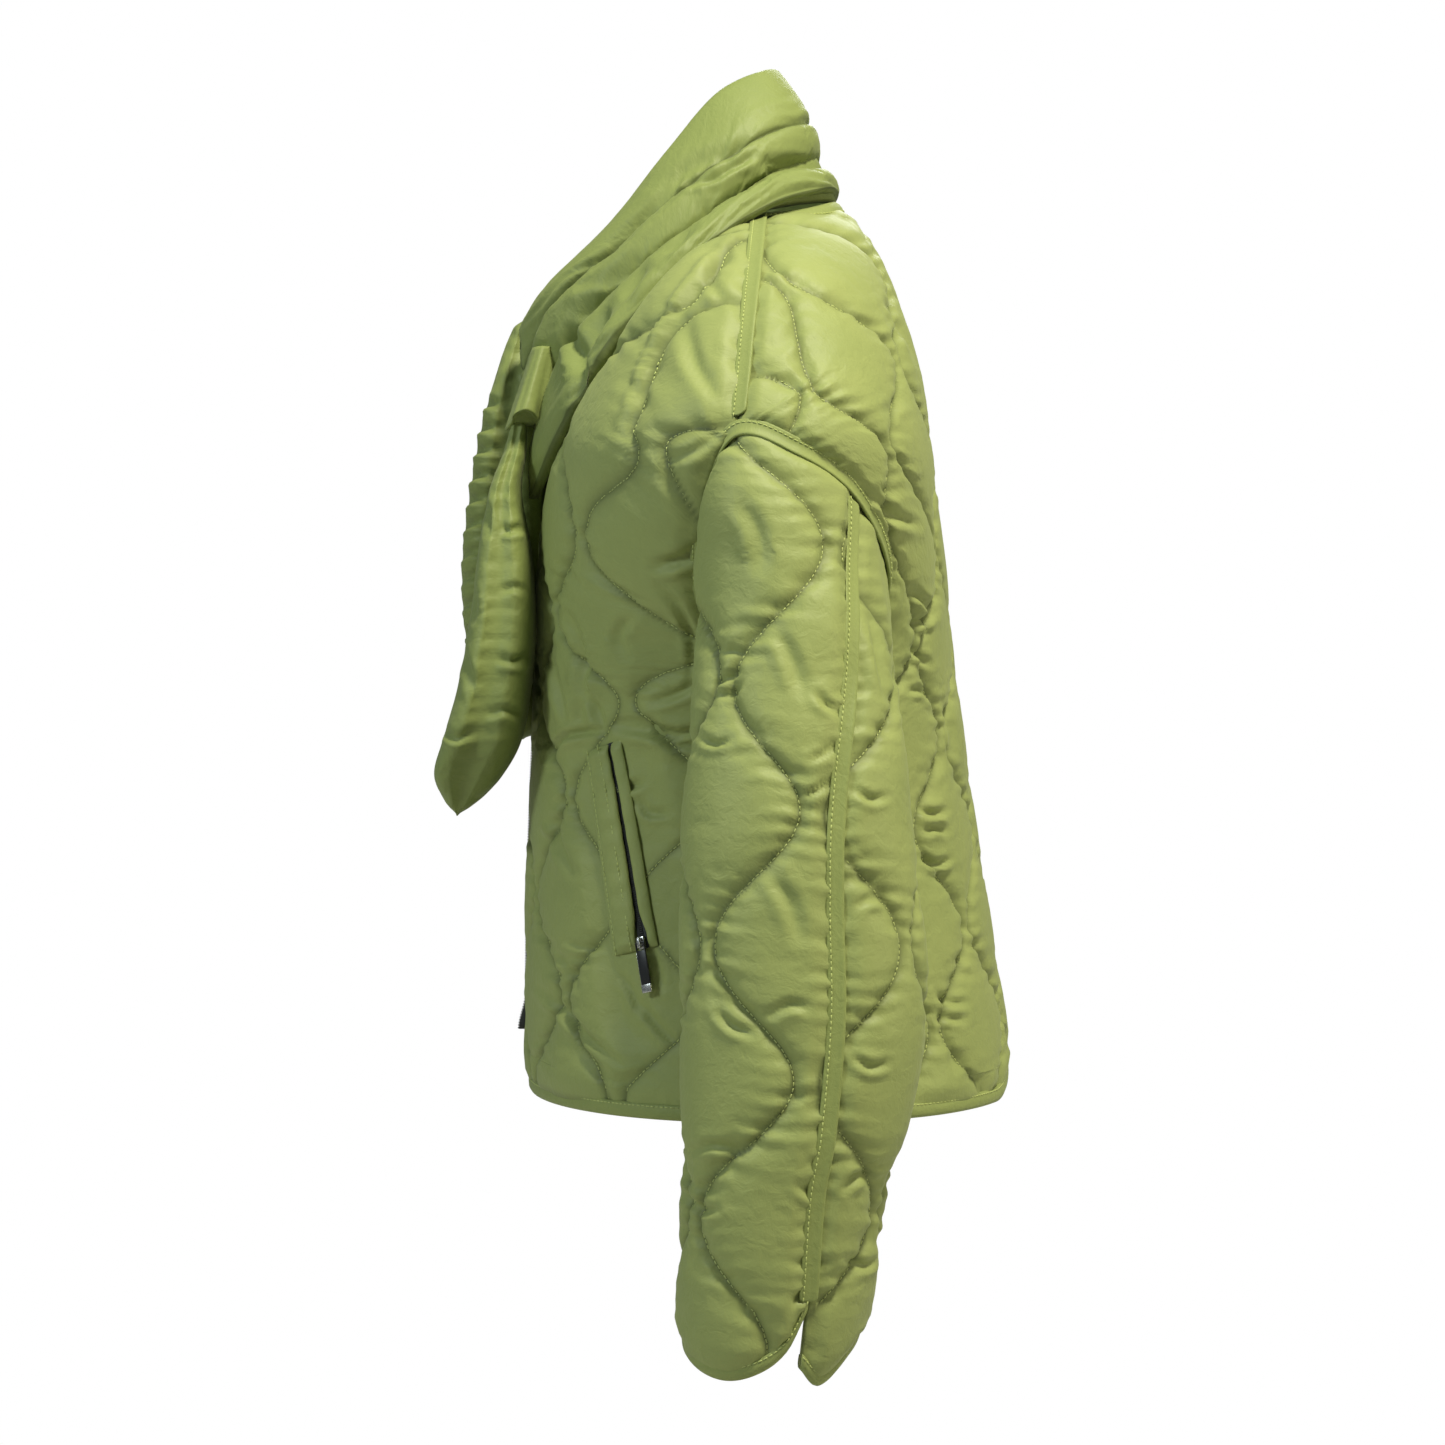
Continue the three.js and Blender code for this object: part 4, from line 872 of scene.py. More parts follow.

# %% [markdown]
# Wearing and storing pull creases into the cloth. The main ones are listed: each is a line on
# the view from the side, in millimetres, with its own width and depth, and a low ridge beside it.
# The far side gets the same kinds of creases, a little lower down. Beside the thread there are also
# many small puckers, uneven in length, which the quilting itself draws up.

# %% Lay the creases
CREASES = {
    # half width and depth, then the line's y and z; a depth below zero is a ridge
    "front": (
        (3.5, -1.6, (-6, -21), (-31, -48), (-55, -81), (-72, -115), (-87, -156)),
        (3.0, -1.4, (-15, -25), (-41, -57), (-64, -95), (-82, -139), (-94, -176)),
        (3.0, 2.0, (-26, -48), (-33, -62), (-26, -82)),
        (4.0, 2.2, (-48, -95), (-41, -129), (-25, -156)),
        (3.0, 1.8, (-63, -190), (-41, -184), (-26, -169)),
        (3.5, 4.0, (-67, -255), (-50, -251), (-31, -245)),
        (2.5, 2.6, (-65, -268), (-52, -284), (-46, -309), (-48, -335)),
        (3.0, 2.0, (-71, -346), (-55, -341), (-39, -332)),
        (4.0, 4.8, (-97, -362), (-72, -366), (-45, -378)),
        (2.6, 4.2, (-68, -366), (-55, -368), (-41, -365)),
        (2.2, 3.4, (-53, -374), (-46, -376), (-40, -374)),
        (2.6, 2.8, (-101, -396), (-90, -404), (-81, -402)),
        (2.4, 2.4, (-82, -414), (-75, -422), (-63, -422)),
        (3.2, 2.6, (-127, -286), (-120, -305), (-120, -339), (-125, -365)),
        (2.4, 2.4, (-142, -312), (-135, -341), (-129, -361)),
        (2.6, 2.4, (-117, -337), (-112, -353), (-105, -371)),
        (2.6, 3.0, (-145, -385), (-135, -373), (-120, -367), (-105, -367)),
        (3.5, 2.0, (-86, -289), (-93, -301), (-89, -315)),
        (3.0, 2.6, (-148, -549), (-132, -562), (-109, -581), (-93, -591)),
        (2.4, 1.9, (-137, -521), (-128, -532), (-122, -543)),
        (2.4, 1.9, (-95, -533), (-87, -544), (-82, -558)),
        (2.4, 1.6, (-109, -515), (-119, -516), (-128, -513)),
        (3.0, 2.2, (-142, -428), (-135, -447), (-124, -467)),
        (2.4, 2.2, (-76, -513), (-71, -524), (-67, -540)),
        (2.6, 2.4, (-82, -550), (-71, -563), (-57, -577)),
    ),
    "sleeve_front": (
        (4.0, 1.8, (-12, -221), (-2, -240), (0, -265)),
        (4.0, 1.8, (10, -303), (19, -322), (25, -343)),
        (2.0, 1.9, (-23, -319), (-17, -316), (-12, -317)),
        (2.2, 2.4, (-30, -337), (-21, -333), (-13, -327)),
        (2.2, 2.2, (-25, -345), (-17, -342), (-12, -336)),
        (2.6, 2.4, (34, -345), (39, -351), (44, -353)),
        (2.0, 2.0, (-35, -372), (-27, -376), (-19, -374)),
        (2.2, 2.0, (29, -386), (37, -382), (43, -375)),
        (2.4, 2.4, (26, -408), (34, -403), (42, -398)),
        (4.0, 1.8, (4, -454), (17, -473), (23, -495)),
        (3.0, 2.1, (4, -542), (17, -536), (28, -537)),
        (2.4, 2.3, (-26, -542), (-18, -551), (-7, -555)),
        (2.6, 2.4, (-40, -630), (-29, -625), (-15, -628)),
        (2.4, 2.1, (23, -649), (31, -655), (38, -654)),
        (2.4, 2.1, (-46, -662), (-36, -668), (-26, -665)),
        (2.4, 2.1, (17, -725), (23, -718), (32, -714)),
    ),
    "sleeve_back": (
        (3.0, 2.1, (65, -290), (70, -322), (75, -347)),
        (2.4, 2.1, (56, -404), (65, -410), (74, -408)),
        (2.6, 2.1, (55, -477), (65, -472), (76, -474)),
        (2.4, 2.1, (54, -568), (63, -575), (74, -573)),
        (2.4, 2.4, (47, -651), (55, -644), (65, -643)),
        (2.6, 2.4, (49, -695), (59, -702), (66, -701)),
    ),
    "back": (
        (2.6, 1.9, (83, -70), (97, -91), (105, -111)),
        (3.0, 2.6, (69, -211), (83, -222), (100, -227)),
        (2.4, 2.4, (98, -270), (107, -277), (114, -285)),
        (2.4, 2.8, (97, -294), (106, -292), (115, -288)),
        (2.2, 2.4, (99, -311), (106, -315), (112, -321)),
        (2.4, 2.4, (97, -339), (105, -338), (113, -342)),
        (3.0, 2.2, (124, -346), (131, -367), (133, -387)),
        (2.6, 2.8, (108, -420), (115, -424), (123, -423)),
        (2.4, 2.4, (109, -437), (116, -434), (124, -437)),
        (2.4, 2.2, (111, -455), (119, -459), (127, -456)),
        (2.6, 2.4, (117, -546), (127, -553), (137, -555)),
        (2.4, 2.2, (115, -566), (124, -564), (135, -566)),
    ),
    "scarf_right_front": tuple(
        (3.0, 3.2, (-222, z), (-205, z + 4), (-186, z + 2))
        for z in (-128, -146, -163, -182, -199, -217, -238, -256, -275, -296, -316, -335)
    ),
    "scarf_left_front": (
        (2.5, 2.6, (-196, -196), (-192, -212), (-190, -228)),
        (2.6, 1.8, (-214, -300), (-205, -318), (-200, -345)),
        (2.6, 2.0, (-222, -366), (-212, -372), (-203, -368)),
        (2.4, 1.8, (-206, -256), (-200, -270), (-199, -290)),
    ),
    "scarf_left_back": (
        (2.6, 2.4, (-168, -222), (-176, -226), (-184, -222)),
        (2.6, 2.0, (-166, -268), (-174, -266), (-181, -270)),
        (2.6, 2.2, (-164, -312), (-172, -318), (-182, -316)),
        (2.6, 2.0, (-170, -356), (-180, -352), (-190, -356)),
    ),
    "collar": (
        (4.0, 3.0, (-156, -94), (-163, -105), (-168, -117)),
        (5.0, 5.0, (-102, -75), (-113, -94), (-122, -111)),
        (4.0, 4.0, (-133, -82), (-126, -97), (-122, -115), (-125, -141)),
        (4.0, 2.6, (-77, -47), (-85, -59), (-93, -72)),
        (4.0, 2.4, (-47, -20), (-56, -31), (-66, -39)),
        (3.5, 3.0, (-47, 18), (-33, 22), (-19, 31)),
        (3.0, 2.4, (-22, 29), (-12, 35), (-5, 41)),
        (5.0, 1.8, (-42, 34), (-70, 8), (-99, -21), (-124, -49)),
        (5.0, 1.8, (-13, 48), (-42, 36), (-70, 18)),
        (3.5, 2.2, (1, 34), (23, 41), (38, 42)),
        (4.0, -1.8, (-142, -59), (-153, -81), (-158, -102)),
    ),
}
FAR_SIDE_DROP = 9
PUCKER = 1.6
CREASE_DEPTH = 1.6
SOFT = 0.28
SHARPNESS = {"collar": 0.4, "scarf": 0.1}


def between(values, axis):
    """The same values with a smooth new one between each two along an axis."""
    v = np.moveaxis(values, axis, 0)
    wide = np.concatenate([2 * v[:1] - v[1:2], v, 2 * v[-1:] - v[-2:-1]])
    middle = (9 * (wide[1:-2] + wide[2:-1]) - wide[:-3] - wide[3:]) / 16
    fine = np.empty((2 * len(v) - 1, *v.shape[1:]))
    fine[::2], fine[1::2] = v, middle
    return np.moveaxis(fine, 0, axis)


def finer(panel):
    """A panel with four times as many cells, so that the creases and the thread's valleys show."""
    held = panel["on_row"]
    fine = {name: between(between(values, 0), 1) for name, values in panel.items() if values.dtype != bool}
    fine["normal"] = unit(fine["normal"])
    fine["gap"], fine["edge"] = np.maximum(fine["gap"], 0), np.maximum(fine["edge"], 0)
    fine["full"] = np.clip(fine["full"], 0, 1)
    rows = np.zeros(fine["gap"].shape, bool)
    rows[::2, ::2] = held
    rows[1::2, ::2] = held[1:] & held[:-1]
    rows[::2, 1::2] = held[:, 1:] & held[:, :-1]
    rows[1::2, 1::2] = (held[1:, 1:] & held[:-1, :-1]) | (held[1:, :-1] & held[:-1, 1:])
    fine["on_row"] = rows
    return fine


def creased(place, facing, lines, drop=0):
    """How far the creases raise the cloth: a trough along each line and a lower ridge beside it."""
    total = np.zeros(place.shape[:2])
    for width, depth, *points in lines:
        line = smooth_line(np.array(points, float) - (0, drop))(np.linspace(0, 1, 30))
        away = place[..., None, 1:] - line
        apart = np.linalg.norm(away, axis=-1)
        nearest = apart.argmin(-1)
        gap = apart.min(-1)
        above = np.take_along_axis(away[..., 1], nearest[..., None], -1)[..., 0]
        fade = np.sin(math.pi * (0.04 + 0.92 * nearest / 29)) ** 0.7
        ridge = np.exp(-(((gap - 2.1 * width) / width) ** 2)) * np.where(above < 0, 0.55, 0.2)
        total += depth * fade * (ridge - np.exp(-((gap / width) ** 2)))
    return CREASE_DEPTH * total * smooth(facing * 4)


def puckers(panel):
    """Small wrinkles beside the thread, in patches."""
    x, z = panel["flat"][..., 0], panel["flat"][..., 1]
    fine = np.sin(z / 1.75 + 1.1 * np.sin(x / 9 + z / 41)) * np.sin(z / 29 + x / 47 + 1)
    broad = np.sin(z / 2.9 + x / 13 + np.sin(z / 17)) * np.sin(z / 37 - x / 61 + 2)
    near = np.minimum(panel["gap"], panel["edge"])
    return PUCKER * (fine + 1.2 * broad) * np.exp(-near / 9) * smooth(near / 3) * panel["full"]


panels = {name: finer(panel) for name, panel in panels.items()}
for name, panel in panels.items():
    kind = name if name.startswith("scarf") else name.removesuffix("_left").removesuffix("_right")
    if kind in grids:
        mirrored = -1 if name.endswith("_right") else 1
        panel["gap"] = row_gap(ROWS[kind.split("_")[0]], panel["flat"] * (mirrored, 1))
    panel["gap"] = np.where(panel["on_row"], 0, panel["gap"])
    crisp = SHARPNESS.get(name.split("_")[0], 0.56)
    puffed = crisp * PUFF * panel["full"] * (1 - np.exp(-panel["gap"] / 5.5)) * smooth(panel["edge"] / 16)
    height = SOFT * panel["held"] + puffed + puckers(panel) * (0.4 if name.startswith("scarf") else 1)
    for side in (1, -1):
        facing, drop = side * panel["normal"][..., 0], 0 if side > 0 else FAR_SIDE_DROP
        height += creased(panel["place"], facing, CREASES.get(kind, ()), drop)
    height = np.where(panel["on_row"], np.minimum(height, 0), np.maximum(height, -2.0))
    panel["outer"] = panel["place"] + panel["aside"] + panel["normal"] * height[..., None]
print("creases", sum(len(lines) for lines in CREASES.values()))

# %% [markdown]
# A panel is closed into a real wall before it is dressed: the puffed outer sheet, a plain coarse
# inner sheet a few millimetres behind it, and a rim that bridges the two. The flat pattern goes
# into the UV map, in centimetres, so that the weave runs along the cut of the cloth.

# %% Close each panel into a wall
WALL = 3.0
INNER_STEP = 12


def thinned(count, step):
    """Every few lines of a grid, with both its edges."""
    return np.unique(np.append(np.arange(0, count, step), count - 1))


def padded_wall(panel, wall=WALL, step=INNER_STEP):
    """One closed piece from a panel's outer sheet and its plain inner side."""
    outer = panel["outer"]
    i, j = thinned(outer.shape[0], step), thinned(outer.shape[1], step)
    inner = (panel["place"] - wall * panel["normal"])[np.ix_(i, j)]
    flat = np.concatenate([panel["flat"].reshape(-1, 2), panel["flat"][np.ix_(i, j)].reshape(-1, 2)]) * 0.1
    bm = bmesh.new()
    for grid in (outer, inner):
        made = bmesh.ops.create_grid(bm, x_segments=grid.shape[1] - 1, y_segments=grid.shape[0] - 1, size=0.5)
        for vert, corner in zip(made["verts"], grid.reshape(-1, 3) * MM):
            vert.co = corner
    rims = [edge for edge in bm.edges if edge.is_boundary]
    bmesh.ops.bridge_loops(bm, edges=rims)
    bmesh.ops.recalc_face_normals(bm, faces=bm.faces)
    # painted shade: a mask that is 1 on the thread and fades within a few millimetres, used to darken the
    # colour where the quilting's valleys would be in shadow
    near = np.zeros(len(flat))
    near[: panel["gap"].size] = np.exp(-np.minimum(panel["gap"], panel["edge"]).ravel() / 1.9)
    return bm, flat, near


def lay_pattern(mesh, flat, near):
    """The flat pattern as the UV map, and the painted shade beside the thread as an attribute."""
    corner = np.empty(len(mesh.loops), np.int64)
    mesh.loops.foreach_get("vertex_index", corner)
    mesh.uv_layers.new(name="cloth").data.foreach_set("uv", flat[corner].ravel())
    mesh.attributes.new("near_thread", "FLOAT", "POINT").data.foreach_set("value", near)


def add_piece(name, bm, slot, replaces=(), body="jacket", divide=0):
    """An object from a bmesh, riding on its body and shown in place of the solid nodes it stands for."""
    mesh = bpy.data.meshes.new(name)
    bm.to_mesh(mesh)
    bm.free()
    mesh.shade_smooth()
    piece = bpy.data.objects.new(name, mesh)
    bpy.context.scene.collection.objects.link(piece)
    if divide:
        soft = piece.modifiers.new("smooth cloth", "SUBSURF")
        soft.levels = soft.render_levels = divide
    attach(piece, body)
    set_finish(piece, slot)
    if replaces:
        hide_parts(*replaces)
    return piece


shell = {}
for name, panel in panels.items():
    if name.startswith("scarf"):
        continue
    bm, flat, near = padded_wall(panel, COLLAR_WALL if name == "collar" else WALL)
    print(name, len(bm.faces), "faces, volume", round(bm.calc_volume() * 1e6), "cubic centimetres")
    shell[name] = add_piece(f"quilted_{name}", bm, "scarf" if name == "collar" else "shell", [name])
    lay_pattern(shell[name].data, flat, near)

# %% [markdown]
# The two layers of a hanging end share their outline, so joining the corners that lie on each
# other closes the pillow.

# %% Sew the hanging ends together


def pillow(side):
    bm = bmesh.new()
    flats = []
    for layer in ("front", "back"):
        panel = panels[f"scarf_{side}_{layer}"]
        grid = panel["outer"].copy()
        rim = panel["edge"] < 1e-6
        grid[rim] = panel["place"][rim]
        made = bmesh.ops.create_grid(bm, x_segments=grid.shape[1] - 1, y_segments=grid.shape[0] - 1, size=0.5)
        for vert, corner in zip(made["verts"], grid.reshape(-1, 3) * MM):
            vert.co = corner
        flats.append(panel["flat"].reshape(-1, 2) * 0.1)
    flat = np.concatenate(flats)
    uv = bm.loops.layers.uv.new("cloth")
    bm.verts.index_update()
    for face in bm.faces:
        for loop in face.loops:
            loop[uv].uv = flat[loop.vert.index]
    bmesh.ops.remove_doubles(bm, verts=bm.verts, dist=0.00005)
    bmesh.ops.dissolve_degenerate(bm, edges=bm.edges, dist=0.00001)
    bmesh.ops.recalc_face_normals(bm, faces=bm.faces)
    return bm


for side in ("left", "right"):
    bm = pillow(side)
    open_edges = sum(e.is_boundary for e in bm.edges)
    print(side, "end: open edges", open_edges, "volume", round(bm.calc_volume() * 1e6))
    shell[f"end_{side}"] = add_piece(f"scarf_end_of_the_{side}", bm, "scarf", [f"scarf_end_{side}"])

# %% [markdown]
# A tape or a binding is one profile carried along a seam. The profile's points are woven into a
# grid, its long edges are joined into a tube, and the open ends are filled.

# %% Carry a profile along a line


def carried(rings, closed=False):
    """A closed bar through rings of points, in millimetres."""
    rings = np.concatenate([rings, rings[:, :1]], axis=1)
    if closed:
        rings = np.concatenate([rings, rings[:1]], axis=0)
    bm = bmesh.new()
    made = bmesh.ops.create_grid(bm, x_segments=rings.shape[1] - 1, y_segments=rings.shape[0] - 1, size=0.5)
    for vert, corner in zip(made["verts"], rings.reshape(-1, 3) * MM):
        vert.co = corner
    length = np.concatenate([[0], np.cumsum(np.linalg.norm(np.diff(rings[:, 0], axis=0), axis=1))]) * 0.1
    girth = np.concatenate([[0], np.cumsum(np.linalg.norm(np.diff(rings[0], axis=0), axis=1))]) * 0.1
    uv = bm.loops.layers.uv.new("cloth")
    bm.verts.index_update()
    width = rings.shape[1]
    for face in bm.faces:
        for loop in face.loops:
            i, j = divmod(loop.vert.index, width)
            loop[uv].uv = (girth[j], length[i])
    bmesh.ops.remove_doubles(bm, verts=bm.verts, dist=0.000002)
    bmesh.ops.holes_fill(bm, edges=[edge for edge in bm.edges if edge.is_boundary])
    bmesh.ops.recalc_face_normals(bm, faces=bm.faces)
    return bm


def twin(rings):
    """The same rings on the other side of the jacket."""
    return rings * (-1, 1, 1)


# %% [markdown]
# The outside seams are covered by a folded tape: a flat strip with one soft ridge where its fold
# stands up, and a row of stitches beside the other edge.

# %% Make the seam tapes
TAPE_PROFILE = (
    # how far across from -1 to 1, and how high above the cloth
    (-1.0, 0.5),
    (-0.98, 1.3),
    (-0.7, 1.7),
    (-0.2, 1.8),
    (0.3, 2.2),
    (0.62, 3.0),
    (0.88, 3.1),
    (1.0, 2.2),
    (1.02, 0.5),
    (0.4, 0.3),
    (-0.4, 0.3),
)
TAPE_HALF = 6.2


def tape_rings(edge, normal, first, second, half=TAPE_HALF, lift=0.5):
    """Rings of a tape: `first` and `second` point away from the seam along the cloth on each side."""
    rings = []
    half = np.broadcast_to(half, edge.shape[:1])
    for across, high in TAPE_PROFILE:
        side = first if across < 0 else second
        away = edge + side * (np.abs(across) * half)[:, None]
        rings.append(away + normal * (high + lift))
    return np.stack(rings, 1)


def seam_lines(first, second, t, s_edge=(0, 0), inward=(0.03, 0.03)):
    """A seam's points, normals and the ways along both panels, at shares up the seam."""
    flat_t = np.asarray(t, float)
    edge, normal, _ = first["at"](s_edge[0] + 0 * flat_t, flat_t)
    a = first["at"](s_edge[0] + inward[0] + 0 * flat_t, flat_t)[0]
    b = second["at"](s_edge[1] + inward[1] + 0 * flat_t, flat_t)[0]
    return edge, normal, unit(a - edge), unit(b - edge)


def add_tape(name, rings, nodes, closed=False):
    """A tape on the left and its twin on the right."""
    for side, shape in (("left", rings), ("right", twin(rings))):
        replaced = [f"{node}_{side}" for node in nodes]
        tapes.append(add_piece(f"{name}_{side}", carried(shape, closed), "binding", replaced, divide=1))


tapes = []
start = ROWS_BELOW / SLEEVE_ROWS
sleeve_seam = seam_lines(sleeve_front, sleeve_back, np.linspace(start, 0.985, 150))
add_tape("sleeve_tape", tape_rings(*sleeve_seam), ["sleeve_binding"])

share_at = {"front": 22 / 32, "back": 28 / 38}
u = np.linspace(0.03, 0.97, 60)
front_t, back_t = mix(share_at["front"], 1, u), mix(share_at["back"], 1, u)
edge, normal, _ = front_panel["at"](1 + 0 * u, front_t)
ahead = unit(front_panel["at"](0.97 + 0 * u, front_t)[0] - edge)
behind = unit(back_panel["at"](0.97 + 0 * u, back_t)[0] - edge)
shoulder_line = (edge, normal, ahead, behind)
add_tape("shoulder_tape", tape_rings(*shoulder_line), ["shoulder_binding"])

turn = np.linspace(-180, 180, 181)[:-1]
edge = armhole(turn)
onto_body = unit(np.cross(body_normal(edge), np.gradient(edge, axis=0)))
onto_sleeve = unit(sleeve_point(turn, edge[:, 2] - 6) - edge)
on_sleeve_out = sleeve_normal(turn, edge[:, 2])
normal = unit(body_normal(edge) + on_sleeve_out)
opening = (body_normal(edge) * on_sleeve_out).sum(-1)
centre = edge.mean(0)
onto_body *= np.sign(((edge - centre) * onto_body).sum(-1))[:, None]
armhole_half = mix(2.5, TAPE_HALF, smooth((opening + 0.85) / 0.9))
armhole_line = (edge, normal, onto_body, onto_sleeve)
rings = tape_rings(*armhole_line, half=armhole_half, lift=1.0)
add_tape("armhole_tape", rings, ["armhole_binding"], closed=True)
print(len(tapes), "tapes")

# %% [markdown]
# The open edges are bound: a strip is folded over the raw edge and sewn through, so it shows on
# both sides. Its profile runs up the outside, over the edge and back up the inside.

# %% Bind the hem, the cuffs and the neck
BINDING_PROFILE = (
    # how far in from the edge, and how high above the cloth's outer side
    (9.0, 0.5),
    (8.9, 1.5),
    (7.6, 2.1),
    (4.0, 2.5),
    (0.8, 2.2),
    (-1.2, 1.0),
    (-1.6, -1.2),
    (-1.2, -3.6),
    (0.8, -4.8),
    (4.0, -4.9),
    (7.0, -4.4),
    (7.2, -3.5),
    (1.2, -3.3),
    (0.4, -1.2),
    (1.2, 0.4),
)


def binding_rings(edge, normal, inward):
    return np.stack([edge + inward * far + normal * high for far, high in BINDING_PROFILE], 1)


def edge_of(panel, t_edge, s):
    """Points, normals and the way in, along the foot or head of a panel."""
    inside = 0.02 if t_edge == 0 else 0.98
    edge, normal, _ = panel["at"](s, 0 * s + t_edge)
    return edge, normal, unit(panel["at"](s, 0 * s + inside)[0] - edge)


def join_halves(back, front):
    """A line round the body: right front, back, left front, from its two left halves."""
    left = [np.concatenate([b[:-1], f[::-1]]) for b, f in zip(back, front)]
    return [np.concatenate([line[:0:-1] * (-1, 1, 1), line]) for line in left]


s = np.linspace(0, 1, 150)
hem_line = join_halves(edge_of(back_panel, 0, s), edge_of(front_panel, 0, s))
neck_line = join_halves(edge_of(back_panel, 1, s[::3]), edge_of(front_panel, 1, s[::3]))
bound = [
    add_piece("hem_edge", carried(binding_rings(*hem_line)), "binding", ["hem_binding"]),
    add_piece("neck_edge", carried(binding_rings(*neck_line)), "binding", ["neck_binding"]),
]
cuff_lines = {}
for half, panel in (("front", sleeve_front), ("back", sleeve_back)):
    cuff_lines[half] = edge_of(panel, 0, s[::2])
    rings = binding_rings(*cuff_lines[half])
    for side, shape in (("left", rings), ("right", twin(rings))):
        node = f"cuff_binding_{half}_{side}"
        bound.append(add_piece(f"cuff_edge_{half}_{side}", carried(shape), "binding", [node]))
print(len(bound), "bound edges")

# %% [markdown]
# The slanted pocket has a stuffed welt on its front side and a narrow lip on its back side, with a
# dark zip between them. All three are strips laid on the front at fixed distances from the pocket's
# line, so they follow the belly of the cloth.

# %% Make the pocket strips
POCKET_DOWN = unit(POCKET_END - POCKET_TOP)


def pocket_frame(u):
    """Place, normal and the way forward at shares down the pocket line."""
    p = settle(POCKET_TOP + (POCKET_END - POCKET_TOP) * np.asarray(u, float)[..., None])
    normal = body_normal(p)
    return p, normal, unit(np.cross(POCKET_DOWN, normal))


def laid(u, forward):
    """A place on the front at a distance forward of the pocket line, with its normal."""
    p, _, ahead = pocket_frame(u)
    p = settle(p + ahead * forward)
    return p, body_normal(p)


def drawn_in(u, forward):
    """The lips close over the zip towards the top of the pocket."""
    near = np.clip((12 - abs(forward)) / 7, 0, 1)
    return forward - math.copysign(1, forward) * near * smooth((0.94 - u) / 0.12) * (2.6 + 0.9 * (1 - u))


def strip_rings(profile, stations=90, wave=None):
    u = np.linspace(0, 1, stations)
    rings = []
    for forward, high in profile:
        p, normal = laid(u, (forward if wave is None else drawn_in(u, forward)[..., None]))
        swell = 1 if wave is None or high < 2 else wave(u)
        rings.append(p + normal * (high * swell if np.ndim(swell) == 0 else (high * swell)[:, None]))
    return np.stack(rings, 1)


def welt_wave(u):
    """The welt is a little uneven, and thinner where it is sewn down at both ends."""
    along = u * np.linalg.norm(POCKET_END - POCKET_TOP)
    ripple = 0.07 * np.sin(along / 2.9) * np.sin(along / 13) + 0.05 * np.sin(along / 8.5 + 1)
    return (1 + ripple) * smooth(np.minimum(u, 1 - u) * 14 + 0.35)


WELT_PROFILE = (
    (4.6, 2.6), (4.2, 3.6), (5.2, 5.4), (7.8, 6.3), (11.5, 6.9), (15.5, 6.6), (19.5, 5.4),
    (22.4, 3.6), (23.4, 2.4), (24.6, 2.9), (26.0, 2.6), (26.6, 1.4), (20.0, 1.0), (11.0, 1.0),
)
LIP_PROFILE = (
    (-4.9, 2.6), (-4.6, 3.4), (-5.4, 4.2), (-7.2, 4.3), (-9.4, 3.5), (-11.0, 2.2), (-11.4, 0.9), (-8.0, 0.7),
)
ZIP_PROFILE = ((-4.3, 0.7), (-4.3, 1.6), (-1.8, 1.9), (1.8, 1.9), (4.3, 1.6), (4.3, 0.7))
pocket_pieces = []
for part, profile, wave, node, slot in (
    ("welt", WELT_PROFILE, welt_wave, "pocket_welt", "shell"),
    ("lip", LIP_PROFILE, welt_wave, "pocket_lip", "shell"),
    ("zip", ZIP_PROFILE, None, "pocket_zip", "zip_tape"),
):
    rings = strip_rings(profile, wave=wave)
    for side, shape in (("left", rings), ("right", twin(rings))):
        piece = add_piece(f"pocket_{part}_of_the_{side}", carried(shape), slot, [f"{node}_{side}"], divide=1)
        pocket_pieces.append((part, piece))
print(len(pocket_pieces), "pocket strips")

# %% [markdown]
# Small repeated things are made once from a cube, and then copied along a line
# with numpy: a stitch is a short bar with a narrower back that lies in the cloth, and a zip tooth is a
# block with softened edges across the tape.

# %% Repeat a small block along a line


def block(size, bevel):
    """Corners and faces of one small block, its length along X and its height along Z."""
    bm = bmesh.new()
    bmesh.ops.create_cube(bm, size=1)
    bmesh.ops.scale(bm, vec=size, verts=bm.verts)
    if bevel:
        bmesh.ops.bevel(bm, geom=bm.edges, offset=bevel, affect="EDGES", segments=1, profile=0.5, material=-1)
    bm.verts.index_update()
    corners = np.array([vert.co[:] for vert in bm.verts])
    faces = [[vert.index for vert in face.verts] for face in bm.faces]
    bm.free()
    return corners, faces


def repeated(name, corners, faces, places, along, out, slot, body="jacket"):
    """Copies of a small block at places in millimetres, turned to lie along the line."""
    across = unit(np.cross(out, along))
    out = unit(np.cross(along, across))
    turned = corners[None, :, 0, None] * along[:, None] + corners[None, :, 1, None] * across[:, None]
    turned = turned + corners[None, :, 2, None] * out[:, None] + places[:, None]
    start = (np.arange(len(places)) * len(corners))[:, None]
    mesh = bpy.data.meshes.new(name)
    sides = [(np.array(face)[None] + start).tolist() for face in faces]
    mesh.from_pydata((turned.reshape(-1, 3) * MM).tolist(), [], [side for group in sides for side in group])
    piece = bpy.data.objects.new(name, mesh)
    bpy.context.scene.collection.objects.link(piece)
    mesh.shade_smooth()
    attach(piece, body)
    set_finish(piece, slot)
    return piece


def spaced(line, step, *others):
    """Places at even steps along a line of points, their directions, and other values read there."""
    length = np.concatenate([[0], np.cumsum(np.linalg.norm(np.diff(line, axis=0), axis=1))])
    at = np.arange(step / 2, length[-1], step)

    def pick(values):
        return np.stack([np.interp(at, length, v) for v in values.T], -1)

    ahead = np.minimum(at + 0.5 * step, length[-1])
    behind = at - 0.5 * step
    along = np.stack([np.interp(ahead, length, v) - np.interp(behind, length, v) for v in line.T], -1)
    return pick(line), unit(along), *[unit(pick(values)) for values in others]


STITCH = block((2.9, 0.8, 0.6), 0)
STITCH[0][STITCH[0][:, 2] > 0] *= (0.7, 0.6, 1)
STITCH_STEP = 3.7


